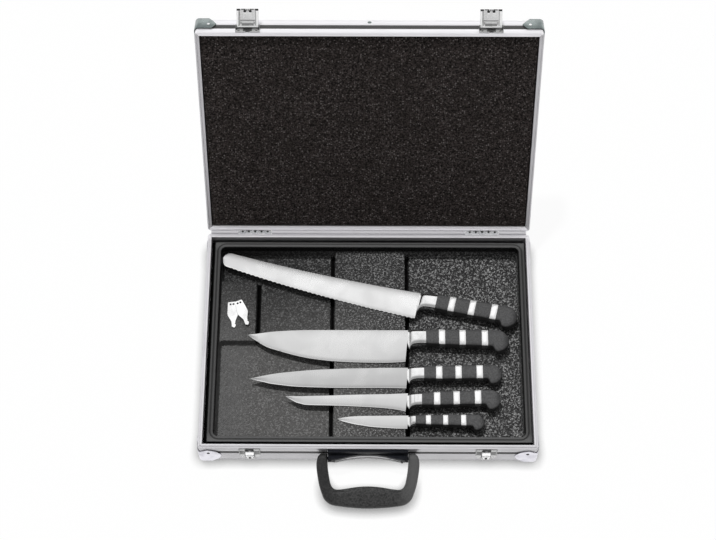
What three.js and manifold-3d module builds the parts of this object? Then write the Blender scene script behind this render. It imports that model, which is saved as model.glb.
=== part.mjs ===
// Hard chef knife case: aluminium frame case with a fitted tray, five knives and two keys.
// Millimetres, +X right, +Y to the hinges, +Z up. The origin is the centre of the base's underside.
// It is shown open: the lid leans on its stop, the clasps are thrown back and the handle lies down.
import * as THREE from "three";
import { mergeVertices } from "three/addons/utils/BufferGeometryUtils.js";
import Module from "manifold-3d";

const wasm = await Module();
wasm.setup();
const radians = THREE.MathUtils.degToRad;

// Driving dimensions of the case
const CASE_WIDTH = 425;
const CASE_DEPTH = 300;
const BASE_HEIGHT = 41;
const LID_HEIGHT = 32;
const OPEN_ANGLE = 115.7; // from shut to the hinge's stop
const GAP = 0.3; // between pieces that touch or rest on each other
const EDGE_RADIUS = 4; // upright edges of the frames

// The frame extrusion, the same for base and lid
const RIM_WIDTH = 5.5;
const LEDGE_WIDTH = 2.3; // outer part of the rim, where the halves meet
const LIP_RISE = 1.2;
const RIM_HEAD = 8; // height of the thick part below the rim
const WALL = 2.2;
const FOOT_REACH = 10;
const FOOT_THICKNESS = 1.5;
const PANEL_THICKNESS = 2;
const BAND_WIDTH = 7.6; // dark inlaid band
const BAND_DEPTH = 1.1;
const BASE_BAND_TOP = 30.2; // above the base's underside
const LID_BAND_TOP = 21.6; // from the lid's outer face
const BAND_RIDGE = 1.2;

// Corner caps
const CAP_LENGTH = 24;
const CAP_THICKNESS = 1;

// Hinges
const HINGE_INSET = 62.5; // from the case's side to a hinge's middle
const HINGE_WIDTH = 42;
const HINGE_OFFSET = 2.5; // pin axis behind the rear wall
const PIN_RADIUS = 1.1;
const PIN_FIT = 0.2;
const KNUCKLE_RADIUS = 2.1;
const KNUCKLES = 5;
const LEAF_THICKNESS = 1;
const LEAF_REACH = 15;
const STOP_WIDTH = 5;

// Latches
const LATCH_INSET = 64.5; // from the case's side to a latch's middle
const CLASP_WIDTH = 26.4;
const CLASP_LENGTH = 23; // from its pivot to its free end
const CLASP_PIVOT_RISE = 9; // above the lid's rim when shut
const CLASP_PIVOT_OUT = 3.4; // from the wall
const CLASP_WALL = 2.2; // width of a side arm
const CLASP_SHEET = 1.2;
const CLASP_OPEN_ANGLE = 120;
const TRUNNION_RADIUS = 1.1;
const EAR_THICKNESS = 1.3;
const EAR_RADIUS = 2.9;
const CATCH_WIDTH = 27;
const CATCH_BELOW_RIM = 1.4;
const CATCH_BOTTOM = 8;
const CATCH_SHEET = 1.4;
const WINDOW_WIDTH = 11;
const WINDOW_HEIGHT = 6.4;
const NOSE_REACH = 2.4;
const LOCK_RISE = 20.2; // keyhole above the base's underside
const LOCK_HOUSING_RADIUS = 6.4;
const LOCK_REACH = 4.6; // front of the housing from the wall
const LOCK_RADIUS = 4.2;
const LOCK_FIT = 0.3;

// Handle
const HANDLE_PIVOT_RISE = 24;
const HANDLE_PIVOT_OUT = 7.2;
const HANDLE_DROOP = 16.5;
const HANDLE_SPAN = 129; // over the legs, at their widest
const HANDLE_REACH = 62.5; // from the pivot to the grip's outer edge
const HANDLE_THICKNESS = 15;
const LEG_WIDTH = 14;
const LEG_END_RADIUS = 6.4;
const GRIP_DEPTH = 26;
const TRUNNION_REACH = 8;
const HANDLE_TRUNNION_RADIUS = 2.6;
const BRACKET_BELOW_RIM = 3;
const BRACKET_SHEET = 3.6;
const BRACKET_ARCH_RISE = 27; // underside of the arch at its middle
const BRACKET_END_RISE = 9;

// Tray
const TRAY_GAP_LEFT = 3.9;
const TRAY_GAP_RIGHT = 0.6;
const TRAY_GAP_FRONT = 6.2;
const TRAY_GAP_BACK = 0.8;
const TRAY_RIM = 31.6; // height of its flange
const TRAY_SHEET = 1.5;
const TRAY_HEM = 5;
const FLANGE_WIDTH = 8;
const GROOVE_FROM = 2.9;
const GROOVE_WIDTH = 2.2;
const GROOVE_DEPTH = 0.8;
const TRAY_DRAFT = 5;
const TRAY_CORNER = 7;
const FLOOR_RISE = 8.5;
const PLATEAU_RISE = 19;
const PLATEAU_FROM = 0.3885; // shares of the tray's width, from its left edge
const PLATEAU_TO = 0.6125;
const SLOT_WIDTH = 6.2;
const KEY_SHELF_WIDTH = 47;
const KEY_SHELF_FROM = 0.511; // shares of the tray's depth, from its front edge
const KEY_SHELF_TO = 0.8114;

// Lid lining
const FOAM_RECESS = 2.5;
const FOAM_THICKNESS = 24;

// Knives: their blades lie on the tray's plateau
const BLADE_EDGE = 0.2; // half the thickness at the cutting edge
const BEVEL_HEIGHT = 5;
const TANG_WIDTH = 6;
const TANG_THICKNESS = 4;
const RING_WALL = 1.4;
const RING_FIT = 0.25;
// Handles: share is the length as a share of the tray's width, and the rest are shares of that length
const BIG_HANDLE = { share: 0.3206, height: 0.1447, thickness: 0.1295, bolster: 0.1706,
  flare: 0.0685, rings: [0.3351, 0.5385, 0.7609], ringWidth: 0.0625, hook: 0.0503 };
const MID_HANDLE = { share: 0.2955, height: 0.1273, thickness: 0.1198, bolster: 0.1686,
  flare: 0.0537, rings: [0.3264, 0.5306, 0.7537], ringWidth: 0.0653, hook: 0.0628 };
const LEAN_HANDLE = { share: 0.2882, height: 0.1305, thickness: 0.1229, bolster: 0.1475,
  flare: 0.0424, rings: [0.3136, 0.5229, 0.7534], ringWidth: 0.0669, hook: 0.0644 };
const SMALL_HANDLE = { share: 0.2344, height: 0.1146, thickness: 0.1146, bolster: 0.0917,
  flare: 0.0417, rings: [0.2604, 0.4875, 0.7271], ringWidth: 0.0521, hook: 0.0521 };
// Blades: heel, where the spine meets the bolster, and point, the spine's other end, are shares of the
// tray's width and depth. tipDrop is how far the tip lies below the spine, and belly the depth where the
// edge's curve ends, as shares of the blade's length. axisDrop is a share of the handle's height.
const KNIVES = [
  { name: "bread", heel: [0.6603, 0.7518], point: [0.03, 0.9648], spine: 2.5,
    tipHeight: 0.074, belly: 0.1381, heelDepth: 0.1389, curve: 1, power: 1,
    axisDrop: 0.379, axisTilt: 2.6, scalloped: true, handle: BIG_HANDLE },
  { name: "chef", heel: [0.6227, 0.5635], point: [0.1148, 0.5635], spine: 3,
    tipDrop: 0.0399, belly: 0.2197, heelDepth: 0.2144, curve: 0.625, power: 2.6,
    axisDrop: 0.511, handle: BIG_HANDLE },
  { name: "slicing", heel: [0.621, 0.3762], point: [0.1248, 0.3762], spine: 2.4,
    tipDrop: 0.0782, belly: 0.1403, heelDepth: 0.1398, curve: 0.6398, power: 2,
    axisDrop: 0.357, handle: MID_HANDLE },
  { name: "boning", heel: [0.6205, 0.2511], point: [0.2396, 0.2511], spine: 2.2,
    tipDrop: 0.0314, belly: 0.1122, heelDepth: 0.1603, curve: 0.2564, power: 2.2,
    axisDrop: 0.325, handle: LEAN_HANDLE },
  { name: "paring", heel: [0.6215, 0.1433], point: [0.401, 0.1433], spine: 1.8,
    tipDrop: 0.0554, belly: 0.1883, heelDepth: 0.1949, curve: 0.5759, power: 2,
    axisDrop: 0.445, handle: SMALL_HANDLE },
];
const WAVE_LENGTH = 6.1;
const WAVE_DEPTH = 0.9;
const SPINE_CURVE = 0.3; // share of the blade over which the spine falls to the point

// Keys on the tray's key shelf
const KEY_SHEET = 1.8;
const KEY_BOW = [11.2, 16.5];
const KEY_BLADE = [5, 15];
const KEYS = [ // at is measured from the shelf's middle
  { name: "key_left", at: [-6.5, 4.6], turn: -8, layer: 0 },
  { name: "key_right", at: [2.9, 6], turn: 21, layer: 1 },
];

// Sizes that follow
const HALF_WIDTH = CASE_WIDTH / 2;
const HALF_DEPTH = CASE_DEPTH / 2;
const INNER_WIDTH = HALF_WIDTH - RIM_WIDTH;
const INNER_DEPTH = HALF_DEPTH - RIM_WIDTH;
const LID_RIM = BASE_HEIGHT + GAP; // height of the lid's rim when shut
const HINGE_Y = HALF_DEPTH + HINGE_OFFSET;
const HINGE_Z = BASE_HEIGHT + GAP / 2;
const HINGE_SPREAD = HALF_WIDTH - HINGE_INSET;
const LATCH_SPREAD = HALF_WIDTH - LATCH_INSET;
const CATCH_TOP = BASE_HEIGHT - CATCH_BELOW_RIM;
const BRACKET_TOP = BASE_HEIGHT - BRACKET_BELOW_RIM;
const TRAY_LEFT = -INNER_WIDTH + TRAY_GAP_LEFT;
const TRAY_RIGHT = INNER_WIDTH - TRAY_GAP_RIGHT;
const TRAY_FRONT = -INNER_DEPTH + TRAY_GAP_FRONT;
const TRAY_BACK = INNER_DEPTH - TRAY_GAP_BACK;
const acrossTray = (share) => THREE.MathUtils.lerp(TRAY_LEFT, TRAY_RIGHT, share);
const alongTray = (share) => THREE.MathUtils.lerp(TRAY_FRONT, TRAY_BACK, share);
const PLATEAU_LEFT = acrossTray(PLATEAU_FROM);
const PLATEAU_RIGHT = acrossTray(PLATEAU_TO);
const KEY_SHELF_FRONT = alongTray(KEY_SHELF_FROM);
const KEY_SHELF_BACK = alongTray(KEY_SHELF_TO);
const WALL_SLOPE = Math.tan(radians(TRAY_DRAFT));
const FLANGE_TO_FLOOR = FLANGE_WIDTH + (TRAY_RIM - PLATEAU_RISE) * WALL_SLOPE; // seen from above
const SLOT_RISE = PANEL_THICKNESS + GAP + TRAY_SHEET;

// Materials
function finish(colour, roughness, metalness) {
  return new THREE.MeshStandardMaterial({ color: colour, roughness, metalness });
}
const aluminium = finish(0xd9dadb, 0.35, 0.9);
const bandPlastic = finish(0x3c3a3b, 0.5, 0);
const chrome = finish(0xd0d3d4, 0.15, 1);
const bladeSteel = finish(0xe2e2e0, 0.3, 1);
const ringSteel = finish(0xf0f0ee, 0.2, 1);
const handlePlastic = finish(0x39393a, 0.5, 0);
const gripPlastic = finish(0x4a4a4b, 0.4, 0);
const trayPlastic = finish(0x33312f, 0.7, 0);
const foam = finish(0x24201d, 0.95, 0);
const panelSheet = finish(0xc3c5c6, 0.45, 0.8);

// Closed meshes from loops of points, turned so that their faces point out
function solid(positions, index) {
  let volume = 0;
  const p = (i) => new THREE.Vector3().fromArray(positions, 3 * i);
  for (let i = 0; i < index.length; i += 3) {
    volume += p(index[i]).dot(p(index[i + 1]).cross(p(index[i + 2])));
  }
  const geometry = new THREE.BufferGeometry();
  geometry.setAttribute("position", new THREE.Float32BufferAttribute(positions, 3));
  geometry.setIndex(volume < 0 ? index.slice().reverse() : index);
  return geometry;
}

// Skins loops of equal length in turn. A ring joins the last loop to the first, and otherwise the
// first and last loops are closed by flat faces.
function loft(loops, ring = false) {
  const n = loops[0].length;
  const index = [];
  const rows = ring ? loops.length : loops.length - 1;
  for (let i = 0; i < rows; i++) {
    const a = i * n;
    const b = ((i + 1) % loops.length) * n;
    for (let j = 0; j < n; j++) {
      const k = (j + 1) % n;
      index.push(a + j, a + k, b + k, a + j, b + k, b + j);
    }
  }
  if (!ring) {
    const last = (loops.length - 1) * n;
    for (let j = 1; j < n - 1; j++) {
      index.push(0, j + 1, j, last, last + j, last + j + 1);
    }
  }
  return solid(loops.flat(2), index);
}

// A rectangle with round corners at height z, as a loop of points
function roundedLoop(halfX, halfY, radius, z, centre = [0, 0], steps = 3) {
  const loop = [];
  const quarters = [[1, 1], [-1, 1], [-1, -1], [1, -1]];
  quarters.forEach(([sx, sy], quarter) => {
    for (let i = 0; i <= steps; i++) {
      const a = (Math.PI / 2) * (quarter + i / steps);
      const x = sx * (halfX - radius) + radius * Math.cos(a);
      const y = sy * (halfY - radius) + radius * Math.sin(a);
      loop.push([centre[0] + x, centre[1] + y, z]);
    }
  });
  return loop;
}

// Joins and cuts
function bare(geometry) {
  const copy = new THREE.BufferGeometry();
  copy.setAttribute("position", geometry.getAttribute("position").clone());
  copy.setIndex(geometry.index);
  return mergeVertices(copy, 1e-4);
}

function toManifold(geometry) {
  const merged = bare(geometry);
  const vertProperties = new Float32Array(merged.getAttribute("position").array);
  const triVerts = new Uint32Array(merged.index.array);
  return new wasm.Manifold(new wasm.Mesh({ numProp: 3, vertProperties, triVerts }));
}

function fromManifold(manifold) {
  const mesh = manifold.getMesh();
  const geometry = new THREE.BufferGeometry();
  geometry.setAttribute("position", new THREE.BufferAttribute(mesh.vertProperties, 3));
  geometry.setIndex(new THREE.BufferAttribute(mesh.triVerts, 1));
  return geometry;
}

function join(...pieces) {
  return fromManifold(pieces.map(toManifold).reduce((a, b) => a.add(b)));
}

function cut(piece, ...tools) {
  return fromManifold(tools.map(toManifold).reduce((a, b) => a.subtract(b), toManifold(piece)));
}

function common(a, b) {
  return fromManifold(toManifold(a).intersect(toManifold(b)));
}

function mirrored(geometry, sx, sy, sz) {
  const copy = bare(geometry).scale(sx, sy, sz);
  return solid(Array.from(copy.getAttribute("position").array), Array.from(copy.index.array));
}

// Boxes, bars and outlines
function box(x, y, z) {
  const size = [x, y, z].map(([low, high]) => high - low);
  const middle = [x, y, z].map(([low, high]) => (low + high) / 2);
  return new THREE.BoxGeometry(...size).translate(...middle);
}

function barX(radius, from, to, y, z, sides = 16) {
  const bar = new THREE.CylinderGeometry(radius, radius, to - from, sides);
  return bar.rotateZ(Math.PI / 2).translate((from + to) / 2, y, z);
}

function barY(radius, from, to, x, z, sides = 24) {
  return new THREE.CylinderGeometry(radius, radius, to - from, sides).translate(x, (from + to) / 2, z);
}

function outline(points) {
  return new THREE.Shape(points.map(([x, y]) => new THREE.Vector2(x, y)));
}

function slab(shape, depth, curveSegments = 6) {
  return new THREE.ExtrudeGeometry(shape, { depth, bevelEnabled: false, curveSegments });
}

// An outline drawn in the plane of Y and Z, given thickness from x = from to x = to
function slabAcross(shape, from, to) {
  const turn = new THREE.Matrix4().makeBasis(
    new THREE.Vector3(0, 1, 0), new THREE.Vector3(0, 0, 1), new THREE.Vector3(1, 0, 0));
  return slab(shape, to - from).applyMatrix4(turn).translate(from, 0, 0);
}

// An outline drawn in the plane of X and Z, given thickness from y = from to y = to
function slabUpright(shape, from, to) {
  const turn = new THREE.Matrix4().makeBasis(
    new THREE.Vector3(1, 0, 0), new THREE.Vector3(0, 0, 1), new THREE.Vector3(0, -1, 0));
  return slab(shape, to - from).applyMatrix4(turn).translate(0, to, 0);
}

function place(group, name, geometry, material) {
  const mesh = new THREE.Mesh(geometry, material);
  mesh.name = name;
  group.add(mesh);
  return mesh;
}

const SIDES = [["left", -1], ["right", 1]];
const ENDS = [["front", -1], ["back", 1]];

// Frames: one profile of [inset from the outer face, height], swept round the case
function sweepRound(profile) {
  return loft(profile.map(([inset, z]) => roundedLoop(
    HALF_WIDTH - inset, HALF_DEPTH - inset, Math.max(EDGE_RADIUS - inset, 0.2), z)), true);
}

// The outer face, band channel, rim and thin inner wall. rim gives the rim's points, outside first.
function frameProfile(height, bandTop, rim) {
  const bandBottom = bandTop - BAND_WIDTH;
  const footBottom = PANEL_THICKNESS + GAP;
  const footTop = footBottom + FOOT_THICKNESS;
  return [
    [0, 0.8], [0, bandBottom], [BAND_DEPTH, bandBottom], [BAND_DEPTH, bandTop], [0, bandTop],
    ...rim,
    [RIM_WIDTH, height - RIM_HEAD], [WALL, height - RIM_HEAD - WALL], [WALL, footTop],
    [FOOT_REACH, footTop], [FOOT_REACH, footBottom], [WALL, footBottom], [WALL, 0], [0.8, 0],
  ];
}

function baseFrame() {
  const lipTop = BASE_HEIGHT + LIP_RISE;
  const rim = [
    [0, BASE_HEIGHT - 0.5], [0.5, BASE_HEIGHT], [LEDGE_WIDTH, BASE_HEIGHT],
    [LEDGE_WIDTH + 0.3, lipTop], [RIM_WIDTH - 0.6, lipTop], [RIM_WIDTH, lipTop - 0.6],
  ];
  return sweepRound(frameProfile(BASE_HEIGHT, BASE_BAND_TOP, rim));
}

// The lid's rim is rebated where the base's lip goes in. Its profile is drawn with the rim up, then
// turned over so that the rim is at height 0 and the outer face at LID_HEIGHT.
function lidFrame() {
  const rebate = LIP_RISE + GAP;
  const rim = [
    [0, LID_HEIGHT - 0.5], [0.5, LID_HEIGHT], [LEDGE_WIDTH - GAP, LID_HEIGHT],
    [LEDGE_WIDTH - GAP, LID_HEIGHT - rebate], [RIM_WIDTH, LID_HEIGHT - rebate],
  ];
  return mirrored(sweepRound(frameProfile(LID_HEIGHT, LID_BAND_TOP, rim)), 1, 1, -1)
    .translate(0, 0, LID_HEIGHT);
}

// The inlaid band lies in the channel with a low ridge along its middle
function bandGeometry(bandTop) {
  const top = bandTop - GAP;
  const bottom = bandTop - BAND_WIDTH + GAP;
  const middle = (top + bottom) / 2;
  const face = 0.5;
  const ridge = 0.25;
  const back = BAND_DEPTH - GAP / 2;
  return sweepRound([
    [back, bottom], [face, bottom], [face, middle - BAND_RIDGE / 2], [ridge, middle],
    [face, middle + BAND_RIDGE / 2], [face, top], [back, top],
  ]);
}

function panelGeometry() {
  const halfX = HALF_WIDTH - WALL - GAP;
  const halfY = HALF_DEPTH - WALL - GAP;
  const edge = 0.6;
  return loft([
    roundedLoop(halfX - edge, halfY - edge, 1.5, 0), roundedLoop(halfX, halfY, 2, edge),
    roundedLoop(halfX, halfY, 2, PANEL_THICKNESS),
  ]);
}

// Corner caps: a pressed steel leaf on both walls and one on the panel, for the corner at +X, +Y of a
// half whose panel faces down. across runs from the corner along a wall.
function capLeaf(height) {
  const bottom = -GAP - CAP_THICKNESS;
  const leaf = new THREE.Shape();
  leaf.moveTo(-5, bottom);
  leaf.lineTo(0.66 * CAP_LENGTH, bottom);
  leaf.quadraticCurveTo(0.93 * CAP_LENGTH, 0.1 * height, CAP_LENGTH, 0.62 * height);
  leaf.quadraticCurveTo(CAP_LENGTH, height, 0.8 * CAP_LENGTH, height);
  leaf.lineTo(-5, height);
  return leaf;
}

function cornerCap(height) {
  const inner = GAP;
  const outer = GAP + CAP_THICKNESS;
  const reach = CAP_LENGTH + 2;
  const bottom = -outer;
  const block = (offset, low, high) => loft([low, high].map((z) => roundedLoop(
    HALF_WIDTH + offset, HALF_DEPTH + offset, EDGE_RADIUS + offset, z, [0, 0], 4)));
  const walls = cut(block(outer, bottom, height), block(inner, -inner, height + 1));
  const leaf = capLeaf(height);
  const onBack = slabUpright(leaf, -outer - 0.5, EDGE_RADIUS + 2).rotateZ(Math.PI)
    .translate(HALF_WIDTH + outer, HALF_DEPTH - 0.5, 0);
  const onSide = mirrored(slabAcross(leaf, -EDGE_RADIUS - 2, outer + 0.5), 1, -1, 1)
    .translate(HALF_WIDTH, HALF_DEPTH + outer, 0);
  const foot = new THREE.Shape();
  foot.moveTo(-1, -1);
  foot.lineTo(0.66 * CAP_LENGTH, -1);
  foot.quadraticCurveTo(0.6 * CAP_LENGTH, 0.6 * CAP_LENGTH, -1, 0.66 * CAP_LENGTH);
  const onPanel = slab(foot, CAP_THICKNESS + 0.01).rotateZ(Math.PI)
    .translate(HALF_WIDTH + outer, HALF_DEPTH + outer, bottom);
  const near = box([HALF_WIDTH - reach, HALF_WIDTH + 5], [HALF_DEPTH - reach, HALF_DEPTH + 5],
    [bottom - 1, height + 1]);
  return common(common(walls, near), join(onBack, onSide, onPanel));
}

function addCaps(group, prefix, height, turnedOver, lift) {
  const cap = cornerCap(height);
  for (const [end, sy] of ENDS) {
    for (const [side, sx] of SIDES) {
      const geometry = mirrored(cap, sx, sy, turnedOver ? -1 : 1).translate(0, 0, lift);
      place(group, `${prefix}_corner_${end}_${side}`, geometry, chrome);
    }
  }
}

// Hinges: knuckles round a pin, with every second one on the other leaf
function hingeLeaf(x, ownKnuckles, up) {
  const pitch = HINGE_WIDTH / KNUCKLES;
  const left = x - HINGE_WIDTH / 2;
  const clear = KNUCKLE_RADIUS + GAP;
  const way = up ? 1 : -1;
  const reach = (from, to) => [HINGE_Z + way * from, HINGE_Z + way * to].sort((a, b) => a - b);
  const back = HALF_DEPTH + (up ? GAP : 0);
  let leaf = box([left, left + HINGE_WIDTH], [back, back + LEAF_THICKNESS], reach(clear, LEAF_REACH));
  for (let k = 0; k < KNUCKLES; k++) {
    if (ownKnuckles.includes(k)) {
      const from = left + k * pitch + (k ? GAP / 2 : 0);
      const to = left + (k + 1) * pitch - (k < KNUCKLES - 1 ? GAP / 2 : 0);
      const web = box([from, to], [back, back + LEAF_THICKNESS], reach(0, clear + 1));
      leaf = join(leaf, web, barX(KNUCKLE_RADIUS, from, to, HINGE_Y, HINGE_Z));
    }
  }
  const bore = barX(PIN_RADIUS + PIN_FIT, left - 1, left + HINGE_WIDTH + 1, HINGE_Y, HINGE_Z);
  return cut(leaf, bore);
}

// The stop lug stands behind the base leaf. Its sloping top meets the lid leaf at OPEN_ANGLE.
function stopLug(x) {
  const lean = radians(OPEN_ANGLE - 90);
  const face = HINGE_OFFSET - LEAF_THICKNESS - GAP; // lid leaf's outer face, inside the axis
  const onFace = (along) => [
    HINGE_Y + along * Math.cos(lean) + (face - GAP) * Math.sin(lean) - GAP * Math.sin(lean),
    HINGE_Z - along * Math.sin(lean) + (face - GAP) * Math.cos(lean) - GAP * Math.cos(lean),
  ];
  const start = KNUCKLE_RADIUS + 2 * GAP;
  const lug = outline([
    [HALF_DEPTH + LEAF_THICKNESS / 2, HINGE_Z - LEAF_REACH],
    [HALF_DEPTH + LEAF_THICKNESS + 1, HINGE_Z - LEAF_REACH],
    [onFace(start + 5)[0], onFace(start + 5)[1] - 3],
    onFace(start + 5), onFace(start),
    [onFace(start)[0] - 0.2, HINGE_Z - KNUCKLE_RADIUS - 1],
    [HALF_DEPTH + LEAF_THICKNESS / 2, HINGE_Z - KNUCKLE_RADIUS - 1],
  ]);
  return slabAcross(lug, x - STOP_WIDTH / 2, x + STOP_WIDTH / 2);
}

function hingePin(x) {
  return barX(PIN_RADIUS, x - HINGE_WIDTH / 2 - 0.6, x + HINGE_WIDTH / 2 + 0.6, HINGE_Y, HINGE_Z, 12);
}

// Clasp bracket on the lid's wall, with its rim at height 0 and the wall at y = -HALF_DEPTH
function claspBracket(x) {
  const face = -HALF_DEPTH - GAP;
  const inner = CLASP_WIDTH / 2 + GAP;
  const outer = inner + EAR_THICKNESS;
  const plate = box([x - outer, x + outer], [face - EAR_THICKNESS, face], [0.6, 15]);
  const pivotY = -HALF_DEPTH - CLASP_PIVOT_OUT;
  const earSpan = [CLASP_PIVOT_RISE - EAR_RADIUS, CLASP_PIVOT_RISE + EAR_RADIUS];
  const ears = [[-outer, -inner], [inner, outer]].map(([from, to]) => join(
    barX(EAR_RADIUS, x + from, x + to, pivotY, CLASP_PIVOT_RISE),
    box([x + from, x + to], [pivotY, face - 0.1], earSpan)));
  const notch = outline([[-6, 0], [6, 0], [0, 2.6]]);
  const bore = barX(TRUNNION_RADIUS + PIN_FIT, x - outer - 1, x + outer + 1, pivotY, CLASP_PIVOT_RISE, 12);
  return cut(join(plate, ...ears), bore, slabUpright(notch, face - 5, face + 5).translate(x, 0, 0));
}

// Clasp, drawn shut with its pivot at the origin: the plate hangs down and faces -Y
function claspGeometry() {
  const half = CLASP_WIDTH / 2;
  const face = -EAR_RADIUS - 0.3; // outer face of the plate
  const back = CLASP_PIVOT_OUT - CATCH_SHEET - 1; // the arms' edges stay clear of the catch
  const hub = CLASP_PIVOT_OUT - EAR_THICKNESS - 2 * GAP; // stays clear of the bracket's plate
  const arm = new THREE.Shape();
  arm.moveTo(face, -0.8);
  arm.lineTo(face, -CLASP_LENGTH + 2);
  arm.lineTo(face - 1.4, -CLASP_LENGTH);
  arm.lineTo(0.2, -CLASP_LENGTH);
  arm.lineTo(back, -CLASP_LENGTH + 2.5);
  arm.lineTo(back, -2);
  arm.absarc(0, 0, hub, 0, Math.PI / 2, false);
  arm.quadraticCurveTo(-1.2 * hub, 0.9 * hub, face, -0.8);
  const arms = [-half, half - CLASP_WALL].map((x) => slabAcross(arm, x, x + CLASP_WALL));
  const plate = box([-half + 1, half - 1], [face, face + CLASP_SHEET], [-CLASP_LENGTH + 1, -0.8]);
  const lip = box([-half + 1, half - 1], [face - 1.4, face + CLASP_SHEET],
    [-CLASP_LENGTH, -CLASP_LENGTH + CLASP_SHEET]);
  const axle = barX(TRUNNION_RADIUS, -half - GAP - EAR_THICKNESS, half + GAP + EAR_THICKNESS, 0, 0, 12);
  const window = box([-half / 2, half / 2], [face - 1, face + 2], [-6, -2.4]);
  const eyes = [-3.3, 3.3].map((x) => barY(1.4, face - 1, face + 2, x, -CLASP_LENGTH + 4.2, 10));
  return cut(join(plate, lip, axle, ...arms), window, ...eyes);
}

// Catch on the base's wall: a plate with a window for the clasp, a nose below it and the lock housing
function catchGeometry(x) {
  const wall = -HALF_DEPTH;
  const half = CATCH_WIDTH / 2;
  const plate = new THREE.Shape();
  plate.moveTo(-half, CATCH_TOP - 1);
  plate.lineTo(-half, LOCK_RISE + 6);
  plate.quadraticCurveTo(-half, LOCK_RISE - 4, -half + 5, CATCH_BOTTOM + 3);
  plate.quadraticCurveTo(0, CATCH_BOTTOM - 5, half - 5, CATCH_BOTTOM + 3);
  plate.quadraticCurveTo(half, LOCK_RISE - 4, half, LOCK_RISE + 6);
  plate.lineTo(half, CATCH_TOP - 1);
  plate.lineTo(half - 1, CATCH_TOP);
  plate.lineTo(-half + 1, CATCH_TOP);
  const windowTop = CATCH_TOP - 1.6;
  const window = outline([
    [-WINDOW_WIDTH / 2, windowTop], [-WINDOW_WIDTH / 2, windowTop - WINDOW_HEIGHT + 2],
    [0, windowTop - WINDOW_HEIGHT], [WINDOW_WIDTH / 2, windowTop - WINDOW_HEIGHT + 2],
    [WINDOW_WIDTH / 2, windowTop],
  ]);
  const noseTop = windowTop - WINDOW_HEIGHT - 0.4;
  const noseBottom = LOCK_RISE + LOCK_HOUSING_RADIUS - 0.5;
  const nose = outline([
    [wall - CATCH_SHEET / 2, noseTop], [wall - CATCH_SHEET - 0.4, noseTop],
    [wall - CATCH_SHEET - NOSE_REACH, noseTop - 3.4], [wall - CATCH_SHEET - NOSE_REACH, noseBottom],
    [wall - CATCH_SHEET / 2, noseBottom],
  ]);
  const housing = barY(LOCK_HOUSING_RADIUS, wall - LOCK_REACH, wall - CATCH_SHEET / 2, 0, LOCK_RISE);
  const bore = barY(LOCK_RADIUS + LOCK_FIT, wall - LOCK_REACH - 1, wall + 1, 0, LOCK_RISE);
  const body = join(slabUpright(plate, wall - CATCH_SHEET, wall),
    slabAcross(nose, -WINDOW_WIDTH / 2, WINDOW_WIDTH / 2), housing);
  return cut(body, slabUpright(window, wall - 5, wall + 1), bore).translate(x, 0, 0);
}

function lockCylinder(x) {
  const wall = -HALF_DEPTH;
  const slot = box([-0.7, 0.7], [wall - LOCK_REACH - 1, wall - 1], [-2.8, 2.8]).translate(0, 0, LOCK_RISE);
  const eye = barY(1.5, wall - LOCK_REACH - 1, wall - 1, 0, LOCK_RISE, 12);
  const barrel = barY(LOCK_RADIUS, wall - LOCK_REACH - 0.2, wall - GAP, 0, LOCK_RISE);
  return cut(barrel, slot, eye).translate(x, 0, 0);
}

// Handle: a loop in plan, drawn straight out from its pivot along -Y
function handleGeometry() {
  const half = HANDLE_SPAN / 2;
  const inner = half - LEG_WIDTH;
  const bevel = 3.6;
  const shape = new THREE.Shape();
  const d = -HANDLE_REACH;
  shape.moveTo(inner, LEG_END_RADIUS);
  shape.quadraticCurveTo(half - 1, LEG_END_RADIUS, half, -9);
  shape.quadraticCurveTo(half - 2, -24, half - 13, d + 15);
  shape.quadraticCurveTo(half - 17, d + 4, half - 30, d + 3);
  shape.quadraticCurveTo(0, d - 3, -half + 30, d + 3);
  shape.quadraticCurveTo(-half + 17, d + 4, -half + 13, d + 15);
  shape.quadraticCurveTo(-half + 2, -24, -half, -9);
  shape.quadraticCurveTo(-half + 1, LEG_END_RADIUS, -inner, LEG_END_RADIUS);
  shape.lineTo(-inner, -8);
  shape.lineTo(-inner + 3.6, d + GRIP_DEPTH + 6);
  shape.quadraticCurveTo(-inner + 5.5, d + GRIP_DEPTH - 2, -inner + 16, d + GRIP_DEPTH - 1.5);
  shape.quadraticCurveTo(0, d + GRIP_DEPTH + 5.5, inner - 16, d + GRIP_DEPTH - 1.5);
  shape.quadraticCurveTo(inner - 5.5, d + GRIP_DEPTH - 2, inner - 3.6, d + GRIP_DEPTH + 6);
  shape.lineTo(inner, -8);
  const body = new THREE.ExtrudeGeometry(shape, {
    depth: HANDLE_THICKNESS - 2 * bevel, bevelThickness: bevel, bevelSize: bevel, bevelOffset: -bevel,
    bevelSegments: 2, curveSegments: 5,
  }).translate(0, 0, -HANDLE_THICKNESS / 2 + bevel);
  const reach = inner + TRUNNION_REACH + GAP;
  const bore = barX(HANDLE_TRUNNION_RADIUS + GAP, -reach, reach, 0, 0, 12);
  // the legs' ends are round, so that they turn clear of the wall
  const ends = barX(HANDLE_PIVOT_OUT - GAP, -half - 1, half + 1, 0, 0, 20);
  const rest = box([-half - 1, half + 1], [-HANDLE_REACH - 10, -2.5], [-HANDLE_THICKNESS, HANDLE_THICKNESS]);
  return cut(common(body, join(ends, rest)), bore);
}

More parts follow.
